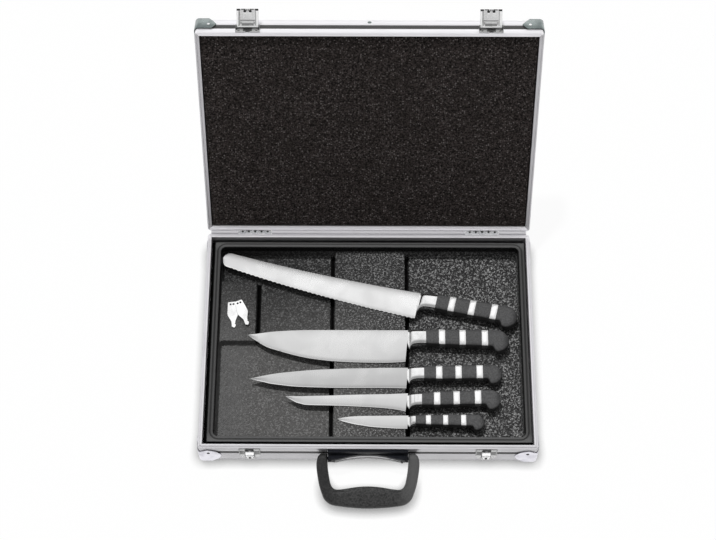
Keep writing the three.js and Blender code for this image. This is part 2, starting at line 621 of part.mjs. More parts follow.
// Bracket with an arched lower edge and a round boss at each end, which holds a trunnion
function handleBracket() {
  const half = HANDLE_SPAN / 2 - LEG_WIDTH - GAP;
  const wall = -HALF_DEPTH;
  const pivotY = wall - HANDLE_PIVOT_OUT;
  const face = new THREE.Shape();
  face.moveTo(-half, BRACKET_TOP);
  face.lineTo(-half, BRACKET_END_RISE + 2);
  face.lineTo(-half + 2, BRACKET_END_RISE);
  face.quadraticCurveTo(0, 2 * BRACKET_ARCH_RISE - BRACKET_END_RISE, half - 2, BRACKET_END_RISE);
  face.lineTo(half, BRACKET_END_RISE + 2);
  face.lineTo(half, BRACKET_TOP);
  const bossSpan = [HANDLE_PIVOT_RISE - LEG_END_RADIUS, HANDLE_PIVOT_RISE + LEG_END_RADIUS];
  const ends = [-1, 1].map((side) => {
    const [from, to] = [side * half, side * (half - 9)].sort((a, b) => a - b);
    return join(barX(LEG_END_RADIUS, from, to, pivotY, HANDLE_PIVOT_RISE, 20),
      box([from, to], [pivotY, wall], bossSpan));
  });
  const trunnions = barX(HANDLE_TRUNNION_RADIUS, -half - TRUNNION_REACH, half + TRUNNION_REACH, pivotY,
    HANDLE_PIVOT_RISE, 12);
  const between = box([-half + 9.5, half - 9.5], [pivotY - 10, wall - BRACKET_SHEET - GAP], [0, BRACKET_TOP]);
  const pins = cut(trunnions, between);
  const plate = slabUpright(face, wall - BRACKET_SHEET, wall);
  return fromManifold(toManifold(join(plate, ...ends)).add(toManifold(pins)));
}

// Tray: an outer skin with pockets cut from above and cores cut from below, which leaves a sheet
function pocket(x, y, low, high, radius, draft = TRAY_DRAFT) {
  const halfX = (x[1] - x[0]) / 2;
  const halfY = (y[1] - y[0]) / 2;
  const centre = [(x[0] + x[1]) / 2, (y[0] + y[1]) / 2];
  const inset = (high - low) * Math.tan(radians(draft));
  return loft([
    roundedLoop(halfX - inset, halfY - inset, Math.max(radius - inset, 0.5), low, centre),
    roundedLoop(halfX, halfY, radius, high, centre),
  ]);
}

function trayGeometry() {
  const inward = (by) => [[TRAY_LEFT + by, TRAY_RIGHT - by], [TRAY_FRONT + by, TRAY_BACK - by]];
  const outerCorner = TRAY_CORNER + FLANGE_WIDTH;
  const [mouthX, mouthY] = inward(FLANGE_WIDTH);
  const [skinX, skinY] = inward(FLANGE_WIDTH - TRAY_SHEET);
  const under = PANEL_THICKNESS + GAP;
  const top = TRAY_RIM;
  const skin = pocket(skinX, skinY, under, top - 0.2, TRAY_CORNER + TRAY_SHEET);
  const flange = pocket(...inward(0), top - TRAY_SHEET - GROOVE_DEPTH, top, outerCorner, 0);
  const hem = cut(pocket(...inward(0), top - TRAY_HEM, top - 1, outerCorner, 0),
    pocket(...inward(TRAY_SHEET), top - TRAY_HEM - 1, top, outerCorner - TRAY_SHEET, 0));
  const groove = cut(
    pocket(...inward(GROOVE_FROM), top - GROOVE_DEPTH, top + 1, outerCorner - GROOVE_FROM, 0),
    pocket(...inward(GROOVE_FROM + GROOVE_WIDTH), top - GROOVE_DEPTH - 1, top + 2,
      outerCorner - GROOVE_FROM - GROOVE_WIDTH, 0));
  // limits of the compartments where they meet the outer walls, at the plateau's height
  const [wallX, wallY] = inward(FLANGE_TO_FLOOR);
  const shelfRight = wallX[0] + KEY_SHELF_WIDTH;
  const leftEnd = PLATEAU_LEFT - SLOT_WIDTH;
  const rightStart = PLATEAU_RIGHT + SLOT_WIDTH;
  const round = TRAY_CORNER - FLANGE_TO_FLOOR + FLANGE_WIDTH;
  const above = PLATEAU_RISE + 1;
  const compartment = (x, y) => pocket(x, y, FLOOR_RISE, PLATEAU_RISE, round);
  const slot = (x, y) => pocket(x, y, SLOT_RISE, above, 0.6, 1);
  const cuts = [
    pocket(mouthX, mouthY, PLATEAU_RISE, top, TRAY_CORNER),
    pocket(mouthX, mouthY, top - 0.01, top + 2, TRAY_CORNER, 0),
    compartment([wallX[0], leftEnd], [KEY_SHELF_BACK, wallY[1]]),
    compartment([shelfRight, PLATEAU_LEFT], wallY),
    compartment([wallX[0], leftEnd], [wallY[0], KEY_SHELF_FRONT]),
    compartment([PLATEAU_RIGHT, wallX[1]], wallY),
    slot([shelfRight, shelfRight + SLOT_WIDTH], [KEY_SHELF_FRONT, KEY_SHELF_BACK]),
    slot([leftEnd, PLATEAU_LEFT], wallY),
    slot([PLATEAU_RIGHT, rightStart], wallY),
  ];
  // cores below, a sheet's thickness inside every face above them
  const s = TRAY_SHEET;
  const core = (x, y, rise) => pocket([x[0] + s, x[1] - s], [y[0] + s, y[1] - s], under - 1, rise - s, 1, 0);
  const inset = (TRAY_RIM - FLOOR_RISE) * WALL_SLOPE * 0.7;
  const deepX = [wallX[0] + inset, wallX[1] - inset];
  const deepY = [wallY[0] + inset, wallY[1] - inset];
  const cores = [
    core([deepX[0], shelfRight], [KEY_SHELF_FRONT, KEY_SHELF_BACK], PLATEAU_RISE),
    core([PLATEAU_LEFT, PLATEAU_RIGHT], deepY, PLATEAU_RISE),
    core([deepX[0], leftEnd], [KEY_SHELF_BACK, deepY[1]], FLOOR_RISE),
    core([shelfRight + SLOT_WIDTH, leftEnd], deepY, FLOOR_RISE),
    core([deepX[0], leftEnd], [deepY[0], KEY_SHELF_FRONT], FLOOR_RISE),
    core([rightStart, deepX[1]], deepY, FLOOR_RISE),
  ];
  return cut(cut(join(skin, flange, hem), groove), ...cuts, ...cores);
}

function foamGeometry() {
  const halfX = INNER_WIDTH - GAP;
  const halfY = INNER_DEPTH - GAP;
  const top = FOAM_RECESS + FOAM_THICKNESS;
  return loft([
    roundedLoop(halfX - 1, halfY - 1, 1, FOAM_RECESS), roundedLoop(halfX, halfY, 1, FOAM_RECESS + 1),
    roundedLoop(halfX, halfY, 1, top),
  ]);
}

// Knives: the blade lies along -X from the heel at the origin, its edge towards -Y. s is the distance
// from the point.
function spineDrop(knife, s) {
  if (knife.scalloped) {
    const r = knife.tipHeight / 2;
    return s < r ? r - Math.sqrt(r * r - (r - s) ** 2) : 0;
  }
  const stretch = SPINE_CURVE * knife.length;
  return s < stretch ? knife.tipDrop * (1 - s / stretch) ** 3 : 0;
}

function edgeDepth(knife, s) {
  if (knife.scalloped) {
    const r = knife.tipHeight / 2;
    const straight = knife.tipHeight + ((knife.heelDepth - knife.tipHeight) * s) / knife.length;
    const scallop = WAVE_DEPTH * Math.abs(Math.sin((Math.PI * s) / WAVE_LENGTH));
    return s < r ? r + Math.sqrt(r * r - (r - s) ** 2) : straight - scallop;
  }
  if (s < knife.curve) {
    const rise = 1 - (1 - s / knife.curve) ** knife.power;
    return knife.tipDrop + (knife.belly - knife.tipDrop) * rise;
  }
  const along = (s - knife.curve) / (knife.length - knife.curve);
  return knife.belly + (knife.heelDepth - knife.belly) * along;
}

// Distances from the point at which the blade gets a section, closer together near the point
function bladeStations(knife) {
  const stations = [0.4];
  if (knife.scalloped) {
    const r = knife.tipHeight / 2;
    stations.push(0.15 * r, 0.35 * r, 0.65 * r, r);
    for (let s = 2 * WAVE_LENGTH; s < knife.length - 1; s += WAVE_LENGTH / 3) stations.push(s);
  } else {
    const count = 14;
    for (let i = 1; i < count; i++) stations.push(0.4 + knife.length * (i / count) ** 1.7);
  }
  return [...stations, knife.length];
}

function bladeGeometry(knife) {
  const sections = bladeStations(knife).map((s) => {
    const x = s - knife.length;
    const top = -spineDrop(knife, s);
    const bottom = -Math.max(edgeDepth(knife, s), -top + 0.4);
    const thick = (knife.spine / 2) * (0.5 + (0.5 * s) / knife.length);
    const bevel = Math.min(BEVEL_HEIGHT, (top - bottom) / 2);
    const edge = Math.min(BLADE_EDGE, thick / 2);
    return [
      [x, top, thick], [x, bottom + bevel, 0.7 * thick], [x, bottom, edge],
      [x, bottom, -edge], [x, bottom + bevel, -0.7 * thick], [x, top, -thick],
    ];
  });
  return loft(sections);
}

// A section across the handle: an oval with flattened sides
function oval(x, top, bottom, thickness, sides = 12) {
  const loop = [];
  for (let i = 0; i < sides; i++) {
    const a = (2 * Math.PI * (i + 0.5)) / sides;
    const square = (v) => Math.sign(v) * Math.abs(v) ** 0.75;
    const y = (top + bottom) / 2 + (square(Math.cos(a)) * (top - bottom)) / 2;
    loop.push([x, y, (square(Math.sin(a)) * thickness) / 2]);
  }
  return loop;
}

// Middle of the grip at distance x from the heel
function axisY(knife, x) {
  return -knife.axisDrop + x * Math.tan(radians(knife.axisTilt));
}

// Blade, bolster and tang, forged in one
function steelGeometry(knife) {
  const { height, thickness, bolster, flare } = knife.handle;
  const half = height / 2;
  const section = (x, wide, below) => oval(x, Math.min(axisY(knife, x) + half, 0.6 + x / 4),
    axisY(knife, x) - half - below, wide * thickness);
  const neck = loft([
    section(-1.2, 0.3, flare), section(1.2, 0.62, 0.75 * flare), section(3, 0.8, 0.35 * flare),
    section(0.28 * bolster + 1, 0.93, 0.08 * flare), section(0.55 * bolster, 1, 0), section(bolster, 1, 0),
  ]);
  const tangEnd = knife.handle.rings[1];
  const y = axisY(knife, bolster);
  const width = Math.min(TANG_WIDTH, height / 2);
  const tang = box([bolster - 2, tangEnd], [y - width / 2, y + width / 2],
    [-TANG_THICKNESS / 2, TANG_THICKNESS / 2]);
  return join(bladeGeometry(knife), neck, tang);
}

// Grip: grooves take the rings, and the end swells down into a hooked pommel
function gripGeometry(knife) {
  const { height, thickness, bolster, rings, ringWidth, end, hook } = knife.handle;
  const half = height / 2;
  const groove = RING_WALL + RING_FIT;
  const full = (x) => oval(x, axisY(knife, x) + half, axisY(knife, x) - half, thickness);
  const thin = (x) => oval(x, axisY(knife, x) + half - groove, axisY(knife, x) - half + groove,
    thickness - 2 * groove);
  const pommel = (x, above, below, wide) => oval(x, axisY(knife, x) + above * half,
    axisY(knife, x) - half - below * hook, wide * thickness);
  const sections = [full(bolster + GAP)];
  for (const ring of rings) {
    const from = ring - ringWidth / 2 - RING_FIT;
    const to = ring + ringWidth / 2 + RING_FIT;
    sections.push(full(from), thin(from + 0.01), thin(to - 0.01), full(to));
  }
  const last = rings.at(-1) + ringWidth / 2;
  const swell = end - last;
  sections.push(
    full(last + 0.33 * swell), pommel(last + 0.44 * swell, 1, 0.6, 1), pommel(last + 0.55 * swell, 1, 1, 1),
    pommel(last + 0.72 * swell, 0.97, 1, 1), pommel(last + 0.88 * swell, 0.8, 0.72, 0.9),
    pommel(last + 0.97 * swell, 0.4, 0.1, 0.7), pommel(end, 0.1, -0.25, 0.45));
  const width = Math.min(TANG_WIDTH, height / 2);
  const y = axisY(knife, bolster);
  const bore = box([bolster - 1, rings[1] + 1], [y - width / 2 - GAP, y + width / 2 + GAP],
    [-TANG_THICKNESS / 2 - GAP, TANG_THICKNESS / 2 + GAP]);
  return cut(loft(sections), bore);
}

function ringGeometry(knife, middle) {
  const { height, thickness, ringWidth } = knife.handle;
  const from = middle - ringWidth / 2;
  const to = middle + ringWidth / 2;
  const section = (x, inset) => oval(x, axisY(knife, x) + height / 2 - inset,
    axisY(knife, x) - height / 2 + inset, thickness - 2 * inset);
  return loft([section(from, 0), section(to, 0), section(to, RING_WALL), section(from, RING_WALL)], true);
}

// Gives a knife its sizes in mm from its shares
function sized(plan) {
  const spot = ([x, y]) => new THREE.Vector2(acrossTray(x), alongTray(y));
  const heel = spot(plan.heel);
  const along = heel.clone().sub(spot(plan.point));
  const length = along.length();
  const share = plan.handle;
  const end = share.share * (TRAY_RIGHT - TRAY_LEFT);
  const handle = { end, rings: share.rings.map((ring) => ring * end) };
  for (const size of ["height", "thickness", "bolster", "flare", "ringWidth", "hook"]) {
    handle[size] = share[size] * end;
  }
  const knife = { ...plan, heel, length, handle, turn: along.angle() };
  for (const size of ["tipDrop", "tipHeight", "belly", "heelDepth", "curve"]) {
    knife[size] = (plan[size] ?? 0) * length;
  }
  knife.axisDrop = plan.axisDrop * handle.height;
  knife.axisTilt = plan.axisTilt ?? 0;
  return knife;
}

function addKnife(group, plan) {
  const knife = sized(plan);
  const set = new THREE.Group();
  set.position.set(knife.heel.x, knife.heel.y, PLATEAU_RISE + GAP + knife.spine / 2);
  set.rotation.z = knife.turn;
  place(set, `${knife.name}_knife_steel`, steelGeometry(knife), bladeSteel);
  place(set, `${knife.name}_knife_grip`, gripGeometry(knife), gripPlastic);
  knife.handle.rings.forEach((middle, i) => {
    place(set, `${knife.name}_knife_ring_${i + 1}`, ringGeometry(knife, middle), ringSteel);
  });
  group.add(set);
}

// Keys: a bow with two eyes and a notched blade, pointing to -Y
function addKey(group, key) {
  const [width, height] = KEY_BOW;
  const [bladeWidth, bladeLength] = KEY_BLADE;
  const low = -height / 2;
  const shape = outline([
    [-width / 2, height / 2], [width / 2, height / 2], [width / 2 + 0.8, low + 4], [width / 2 - 1, low],
    [bladeWidth / 2, low - 2], [bladeWidth / 2, low - 5], [bladeWidth / 2 - 1, low - 6.5],
    [bladeWidth / 2, low - 8], [bladeWidth / 2, low - bladeLength + 2], [0.6, low - bladeLength],
    [-bladeWidth / 2, low - bladeLength + 1.5], [-bladeWidth / 2, low - 1], [-width / 2 - 0.8, low + 4],
  ]);
  const eyes = [-2.4, 1.8].map((x) => new THREE.CylinderGeometry(1.3, 1.3, 10, 12)
    .rotateX(Math.PI / 2).translate(x, height / 2 - 3.6, 0));
  const mesh = place(group, key.name, cut(slab(shape, KEY_SHEET), ...eyes), chrome);
  const x = TRAY_LEFT + FLANGE_TO_FLOOR + KEY_SHELF_WIDTH / 2 + key.at[0];
  const y = (KEY_SHELF_FRONT + KEY_SHELF_BACK) / 2 + key.at[1];
  mesh.position.set(x, y, PLATEAU_RISE + GAP + key.layer * (KEY_SHEET + GAP));
  mesh.rotation.z = radians(key.turn);
}

// Assembly
const knifeCase = new THREE.Group();

function addBase() {
  const base = new THREE.Group();
  place(base, "base_frame", baseFrame(), aluminium);
  place(base, "base_band", bandGeometry(BASE_BAND_TOP), bandPlastic);
  place(base, "base_panel", panelGeometry(), panelSheet);
  addCaps(base, "base", BASE_BAND_TOP, false, 0);
  place(base, "tray", trayGeometry(), trayPlastic);
  place(base, "handle_bracket", handleBracket(), handlePlastic);
  for (const [side, sign] of SIDES) {
    const x = sign * HINGE_SPREAD;
    place(base, `hinge_base_${side}`, join(hingeLeaf(x, [0, 2, 4], false), stopLug(x)), chrome);
    place(base, `hinge_pin_${side}`, hingePin(x), chrome);
    place(base, `catch_${side}`, catchGeometry(sign * LATCH_SPREAD), chrome);
    place(base, `lock_${side}`, lockCylinder(sign * LATCH_SPREAD), chrome);
  }
  const handle = place(base, "handle", handleGeometry(), handlePlastic);
  handle.position.set(0, -HALF_DEPTH - HANDLE_PIVOT_OUT, HANDLE_PIVOT_RISE);
  handle.rotation.x = radians(HANDLE_DROOP);
  knifeCase.add(base);
}

// The lid is built shut, with its rim at height 0, and then swung open round the hinge pins
function addLid() {
  const swing = new THREE.Group();
  swing.position.set(0, HINGE_Y, HINGE_Z);
  swing.rotation.x = radians(-OPEN_ANGLE);
  const lid = new THREE.Group();
  lid.position.set(0, -HINGE_Y, LID_RIM - HINGE_Z);
  swing.add(lid);
  place(lid, "lid_frame", lidFrame(), aluminium);
  const turnedOver = (geometry) => mirrored(geometry, 1, 1, -1).translate(0, 0, LID_HEIGHT);
  place(lid, "lid_band", turnedOver(bandGeometry(LID_BAND_TOP)), bandPlastic);
  place(lid, "lid_panel", turnedOver(panelGeometry()), panelSheet);
  addCaps(lid, "lid", LID_BAND_TOP, true, LID_HEIGHT);
  place(lid, "lid_foam", foamGeometry(), foam);
  for (const [side, sign] of SIDES) {
    const leaf = hingeLeaf(sign * HINGE_SPREAD, [1, 3], true).translate(0, 0, -LID_RIM);
    place(lid, `hinge_lid_${side}`, leaf, chrome);
    place(lid, `clasp_bracket_${side}`, claspBracket(sign * LATCH_SPREAD), chrome);
    const clasp = place(lid, `clasp_${side}`, claspGeometry(), chrome);
    clasp.position.set(sign * LATCH_SPREAD, -HALF_DEPTH - CLASP_PIVOT_OUT, CLASP_PIVOT_RISE);
    clasp.rotation.x = radians(-CLASP_OPEN_ANGLE);
  }
  knifeCase.add(swing);
}

addBase();
addLid();
KNIVES.forEach((knife) => addKnife(knifeCase, knife));
KEYS.forEach((key) => addKey(knifeCase, key));

export default knifeCase;
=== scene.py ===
"""Looks of a hard chef knife case: aluminium frames, moulded tray, foam lining, five knives and two keys."""

import math

import bmesh
import bpy
from mathutils import Matrix, Vector, noise


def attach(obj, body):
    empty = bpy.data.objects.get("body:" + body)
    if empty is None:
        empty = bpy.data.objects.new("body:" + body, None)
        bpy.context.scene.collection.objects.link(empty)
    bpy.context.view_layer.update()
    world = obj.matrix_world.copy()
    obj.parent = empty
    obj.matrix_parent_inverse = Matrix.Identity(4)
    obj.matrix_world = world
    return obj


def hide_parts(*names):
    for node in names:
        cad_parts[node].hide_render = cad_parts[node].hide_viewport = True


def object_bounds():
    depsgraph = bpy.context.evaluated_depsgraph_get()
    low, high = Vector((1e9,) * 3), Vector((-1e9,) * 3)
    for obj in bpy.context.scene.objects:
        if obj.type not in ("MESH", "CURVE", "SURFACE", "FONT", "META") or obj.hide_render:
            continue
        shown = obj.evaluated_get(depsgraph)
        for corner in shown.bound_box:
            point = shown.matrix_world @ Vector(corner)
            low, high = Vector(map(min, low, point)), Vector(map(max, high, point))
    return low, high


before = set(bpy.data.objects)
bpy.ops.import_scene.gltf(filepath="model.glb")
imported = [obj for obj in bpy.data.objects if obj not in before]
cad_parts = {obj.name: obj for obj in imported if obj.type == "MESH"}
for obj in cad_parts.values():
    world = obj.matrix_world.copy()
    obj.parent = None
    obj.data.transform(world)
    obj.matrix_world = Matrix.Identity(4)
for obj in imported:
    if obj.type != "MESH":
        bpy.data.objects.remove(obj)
cad_bounds = [list(corner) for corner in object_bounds()]

# Sizes in mm, as the case is built. X to the right, Y to the hinges, Z up.
MM = 0.001
HALF_WIDTH, HALF_DEPTH = 212.5, 150.0
BASE_HEIGHT, LID_HEIGHT = 41.0, 32.0
RIM_GAP = 0.3
HINGE_X, HINGE_Y, HINGE_Z = 150, 152.5, 41.15
# The clasps' pins on the shut lid, their turn as they stand open, their stamped face, and how far they
# are pressed flat
CLASP_X, CLASP_PIN, CLASP_TURN, CLASP_FACE, CLASP_PRESSED = 148, (-HALF_DEPTH - 3.4, 9), -120, -2.0, 0.94
OPEN_ANGLE = math.radians(115.7)
BASE_BAND_TOP, BASE_BAND_WIDTH = 30.2, 7.6
LID_BAND_TOP, LID_BAND_WIDTH = 21.6, 9.2
BAND_DEPTH = 1.1
TRAY_LEFT, TRAY_RIGHT, TRAY_FRONT, TRAY_BACK = -203.1, 206.4, -138.3, 143.7
TRAY_MIDDLE = ((TRAY_LEFT + TRAY_RIGHT) / 2, (TRAY_FRONT + TRAY_BACK) / 2)
TRAY_HALF = ((TRAY_RIGHT - TRAY_LEFT) / 2, (TRAY_BACK - TRAY_FRONT) / 2)
TRAY_RIM, PLATEAU_RISE, FLOOR_RISE, SLOT_FLOOR = 31.6, 19.0, 8.5, 3.8
TRAY_HEM, FLANGE_WIDTH = TRAY_RIM - 5, 8
WALL_DRAFT, POCKET_DRAFT = (math.tan(math.radians(angle)) for angle in (5, 4))
PLATEAU_LEFT, PLATEAU_RIGHT = -44.0, 47.7
SLOT_WIDTH = 6.2
KEY_SHELF_RIGHT, KEY_SHELF_FRONT, KEY_SHELF_BACK = -147.0, 5.8, 90.5
LINING = (206.6, 144.1)
CAP_LENGTH, CAP_GAP, CAP_OUT = 27.0, 0.3, 1.3
LIP_BEAD = 2.35
LIP_SPANS = (("left", -208, -171.8), ("middle", -128.2, 128.2), ("right", 171.8, 208))
# Outlines of the caps' leaves, as shares of the cap's length along the wall and of the band's top
LID_LEAF = [(0.63, 0), (0.82, 0.22), (0.96, 0.47), (1, 0.58), (0.96, 0.68), (0.81, 1), (-0.19, 1)]
BASE_LEAF = [(0.63, 0), (0.96, 0.26), (1.09, 0.56), (1.06, 0.76), (0.94, 0.93), (0.83, 1.03),
             (0.65, 1.11), (0.46, 1.16), (0.32, 1.09), (0.15, 0.94), (0.07, 0.86), (-0.19, 0.86)]
KEY_SHEET = 1.8
KEY_OUTLINE = [(-4.35, 0), (4.35, 0), (5.25, -1), (7.05, -16.5), (6.65, -19.4), (2.6, -28.2), (2.6, -30.2),
               (1.5, -31.2), (2.6, -32.2), (2.6, -34.9), (0.7, -37.2), (-2.6, -35.6), (-2.6, -28.2),
               (-6.65, -19.4), (-7.05, -16.5), (-5.25, -1)]
# Name, the middle of the bow's end, turn in degrees, layer
KEYS = [("key_left", (-178.9, 60.05), 6.3, 0), ("key_right", (-170.5, 60.85), 21.6, 1)]
SIDES = (("left", -1), ("right", 1))
ENDS = (("front", -1), ("back", 1))

# From the shut lid, its rim at height 0, to the lid as it leans open
LID = (Matrix.Translation((0, HINGE_Y, HINGE_Z)) @ Matrix.Rotation(-OPEN_ANGLE, 4, "X")
       @ Matrix.Translation((0, -HINGE_Y, BASE_HEIGHT + RIM_GAP - HINGE_Z)))
# From an outline drawn up to one across the case, drawn along X
ENDWAYS = Matrix(((0, 0, 1, 0), (1, 0, 0, 0), (0, 1, 0, 0), (0, 0, 0, 1)))


# Shader nodes

def grey(value):
    return (value, value, value, 1)


class Net:
    """A node tree as it is made, with short names for its commonest nodes."""

    def __init__(self, tree):
        self.tree = tree

    def put(self, target, value):
        if isinstance(value, bpy.types.NodeSocket):
            self.tree.links.new(value, target)
        else:
            target.default_value = value

    def node(self, kind, inputs=None, **settings):
        made = self.tree.nodes.new(kind)
        for key, value in settings.items():
            setattr(made, key, value)
        for key, value in (inputs or {}).items():
            self.put(made.inputs[key], value)
        return made.outputs

    def maths(self, operation, a, b=0.0):
        return self.node("ShaderNodeMath", {0: a, 1: b}, operation=operation)[0]

    def add(self, a, b):
        return self.maths("ADD", a, b)

    def sub(self, a, b):
        return self.maths("SUBTRACT", a, b)

    def mul(self, a, b):
        return self.maths("MULTIPLY", a, b)

    def ramp(self, value, low, high, to_low=0.0, to_high=1.0):
        return self.node("ShaderNodeMapRange", {0: value, 1: low, 2: high, 3: to_low, 4: to_high})[0]

    def blend(self, factor, a, b, way="MIX"):
        return self.node("ShaderNodeMix", {0: factor, 6: a, 7: b}, data_type="RGBA", blend_type=way)[2]

    def scaled(self, tone, share):
        return self.blend(1.0, tone, share, "MULTIPLY")

    def noise(self, vector, scale, detail, roughness=0.5, distortion=0.0):
        return self.node("ShaderNodeTexNoise", {"Vector": vector, "Scale": scale, "Detail": detail,
                                                "Roughness": roughness, "Distortion": distortion})["Fac"]

    def cells(self, vector, scale, feature="F1"):
        return self.node("ShaderNodeTexVoronoi", {"Vector": vector, "Scale": scale}, feature=feature)

    def split(self, vector):
        return self.node("ShaderNodeSeparateXYZ", {0: vector})

    def mapped(self, vector, scale=(1, 1, 1), turn=(0, 0, 0), shift=(0, 0, 0)):
        return self.node("ShaderNodeMapping", {0: vector, 1: shift, 2: turn, 3: scale})[0]

    def bump(self, height, strength, distance):
        return self.node("ShaderNodeBump", {"Height": height, "Strength": strength, "Distance": distance})[0]

    def place(self):
        return self.node("ShaderNodeTexCoord")["Object"]

    def shut_place(self, lid):
        """Place on the shut case, in metres from its middle: a lid piece is turned back round the hinges."""
        back = LID.inverted()
        place = self.place()
        return self.mapped(place, turn=back.to_euler("XYZ"), shift=back.translation * MM) if lid else place

    def painted_upright_shade(self, low, high, least):
        """Painted shade: the share of the tone that a face keeps, all of it where it looks up and least where
        it is upright.
        """
        return self.ramp(self.split(self.node("ShaderNodeTexCoord")["Normal"])[2], low, high, least)

    def use(self, group, **inputs):
        return self.node("ShaderNodeGroup", inputs, node_tree=group)

    def give(self, **outputs):
        """Ends a group with its outputs."""
        for key in outputs:
            kind = "NodeSocketVector" if key == "Normal" else "NodeSocketFloat"
            self.tree.interface.new_socket(name=key, in_out="OUTPUT", socket_type=kind)
        self.node("NodeGroupOutput", outputs)
        return self.tree


class Material(Net):
    def __init__(self, name, metallic, roughness, **more):
        self.material = bpy.data.materials.new(name)
        self.material.use_nodes = True
        super().__init__(self.material.node_tree)
        self.shader = self.tree.nodes["Principled BSDF"]
        self.feed(Metallic=metallic, Roughness=roughness, **more)

    def feed(self, **inputs):
        for key, value in inputs.items():
            self.put(self.shader.inputs[key.replace("_", " ")], value)
        return self.material


def start_group(name, **inputs):
    """A shader node group and its inputs: None stands for a vector, and a number for a default."""
    net = Net(bpy.data.node_groups.new(name, "ShaderNodeTree"))
    for key, value in inputs.items():
        kind = "NodeSocketVector" if value is None else "NodeSocketFloat"
        made = net.tree.interface.new_socket(name=key, in_out="INPUT", socket_type=kind)
        if value is not None:
            made.default_value = value
    return net, net.node("NodeGroupInput")[:len(inputs)]


def make_moulded_grain():
    """Pebbled skin of moulded plastic: its pits, the shine between them, and a tone that drifts."""
    net, (vector, grain, depth) = start_group("moulded grain", Vector=None, Grain=900.0, Depth=0.3)
    cells = net.cells(vector, grain, "SMOOTH_F1")["Distance"]
    fine = net.noise(vector, net.mul(grain, 2.3), 3)
    pebble = net.add(net.mul(cells, -1.1), net.mul(fine, 0.9))
    return net.give(Normal=net.bump(pebble, depth, 0.0006), Pebble=net.ramp(pebble, -0.4, 0.55),
                    Drift=net.noise(vector, 14, 2))


def make_fine_lines():
    """Lines that a die or a grinding belt leaves: Vector is stretched along them before it comes in."""
    net, (vector, depth) = start_group("fine lines", Vector=None, Depth=0.1)
    lines = net.add(net.mul(net.noise(vector, 1, 4), 0.6), net.mul(net.noise(vector, 4.3, 2), 0.4))
    return net.give(Lines=lines, Normal=net.bump(lines, depth, 0.0002))


def make_handling_marks():
    """Faint smudges and hairline scratches from handling, as one mask each."""
    net, (vector, size) = start_group("handling marks", Vector=None, Size=30.0)
    smudge = net.noise(vector, size, 5, distortion=0.6)
    long = net.mapped(vector, (0.06, 1, 1), (0.3, 0.2, 0.7))
    hair = net.cells(long, net.mul(size, 9), "DISTANCE_TO_EDGE")["Distance"]
    return net.give(Smudge=net.ramp(smudge, 0.42, 0.72), Scratch=net.ramp(hair, 0.02, 0))


def make_patch():
    """Mask of an oblong on a stamped part's own map, in mm, with a soft edge."""
    names = ("Across", "Along", "Across Middle", "Across Half", "Along Middle", "Along Half")
    net, start = start_group("patch", **dict.fromkeys(names, 0.3))
    sides = []
    for way, middle, half in ((0, 2, 3), (1, 4, 5)):
        off = net.maths("ABSOLUTE", net.sub(start[way], start[middle]))
        inside = net.maths("DIVIDE", net.sub(start[half], off), 0.5)
        sides.append(net.node("ShaderNodeClamp", {0: net.add(inside, 0.5)})[0])
    return net.give(Mask=net.mul(*sides))


MOULDED_GRAIN = make_moulded_grain()
PATCH = make_patch()
FINE_LINES = make_fine_lines()
HANDLING_MARKS = make_handling_marks()


# Materials

def make_frame_aluminium(half, low, high):
    """Satin extrusion: die lines run along each rail, and a hairline shows at each mitre. Painted shade
    darkens upright faces and the lid's side rails, and painted light brightens the base's back rail.
    """
    net = Material(f"frame aluminium {half}", 0.6, 0.34)
    place = net.shut_place(half == "lid")
    x, y, _ = net.split(place)
    beyond_x = net.sub(net.maths("ABSOLUTE", x), HALF_WIDTH * MM)
    beyond_y = net.sub(net.maths("ABSOLUTE", y), HALF_DEPTH * MM)
    side_rail = net.maths("GREATER_THAN", beyond_x, beyond_y)
    stretched = net.node("ShaderNodeMix", {0: side_rail, 4: net.mapped(place, (3, 1500, 1500)),
                                           5: net.mapped(place, (1500, 3, 1500))}, data_type="VECTOR")[1]
    lines = net.use(FINE_LINES, Vector=stretched, Depth=0.12)
    smudge = net.use(HANDLING_MARKS, Vector=place, Size=26.0)["Smudge"]
    seam = net.ramp(net.maths("ABSOLUTE", net.sub(beyond_x, beyond_y)), 0.00012, 0.0002, 1, 0)
    tone = net.blend(lines["Lines"], *((v, v * 0.985, v * 1.02, 1) for v in (low, high)))
    tone = net.blend(net.mul(smudge, 0.18), tone, grey(low * 0.9))
    # Painted shade: upright faces keep only part of the tone.
    tone = net.scaled(tone, net.painted_upright_shade(0.05, 0.35, 0.68))
    # Painted shade on the lid's side rails, painted darker, and painted light on the base's back rail,
    # painted brighter.
    tone = net.scaled(tone, net.ramp(side_rail, 0, 1, 1, 0.6) if half == "lid"
                      else net.ramp(y, 0.140, 0.145, 1, 1.2))
    tone = net.blend(net.mul(seam, 0.7), tone, (0.16, 0.16, 0.17, 1))
    rough = net.ramp(net.add(lines["Lines"], net.mul(smudge, 0.3)), 0.2, 1.1, 0.26, 0.46)
    return net.feed(Base_Color=tone, Roughness=rough, Normal=lines["Normal"])


def make_dark_band(half):
    """Soft inlay in the frame's channel, its tone drifting a little."""
    net = Material(f"dark band {half}", 0.0, 0.5)
    grain = net.use(MOULDED_GRAIN, Vector=net.shut_place(half == "lid"), Grain=2600.0, Depth=0.15)
    tone = net.blend(grain["Drift"], (0.030, 0.029, 0.030, 1), (0.052, 0.050, 0.051, 1))
    return net.feed(Base_Color=tone, Roughness=net.ramp(grain["Pebble"], 0, 1, 0.42, 0.6),
                    Normal=grain["Normal"])


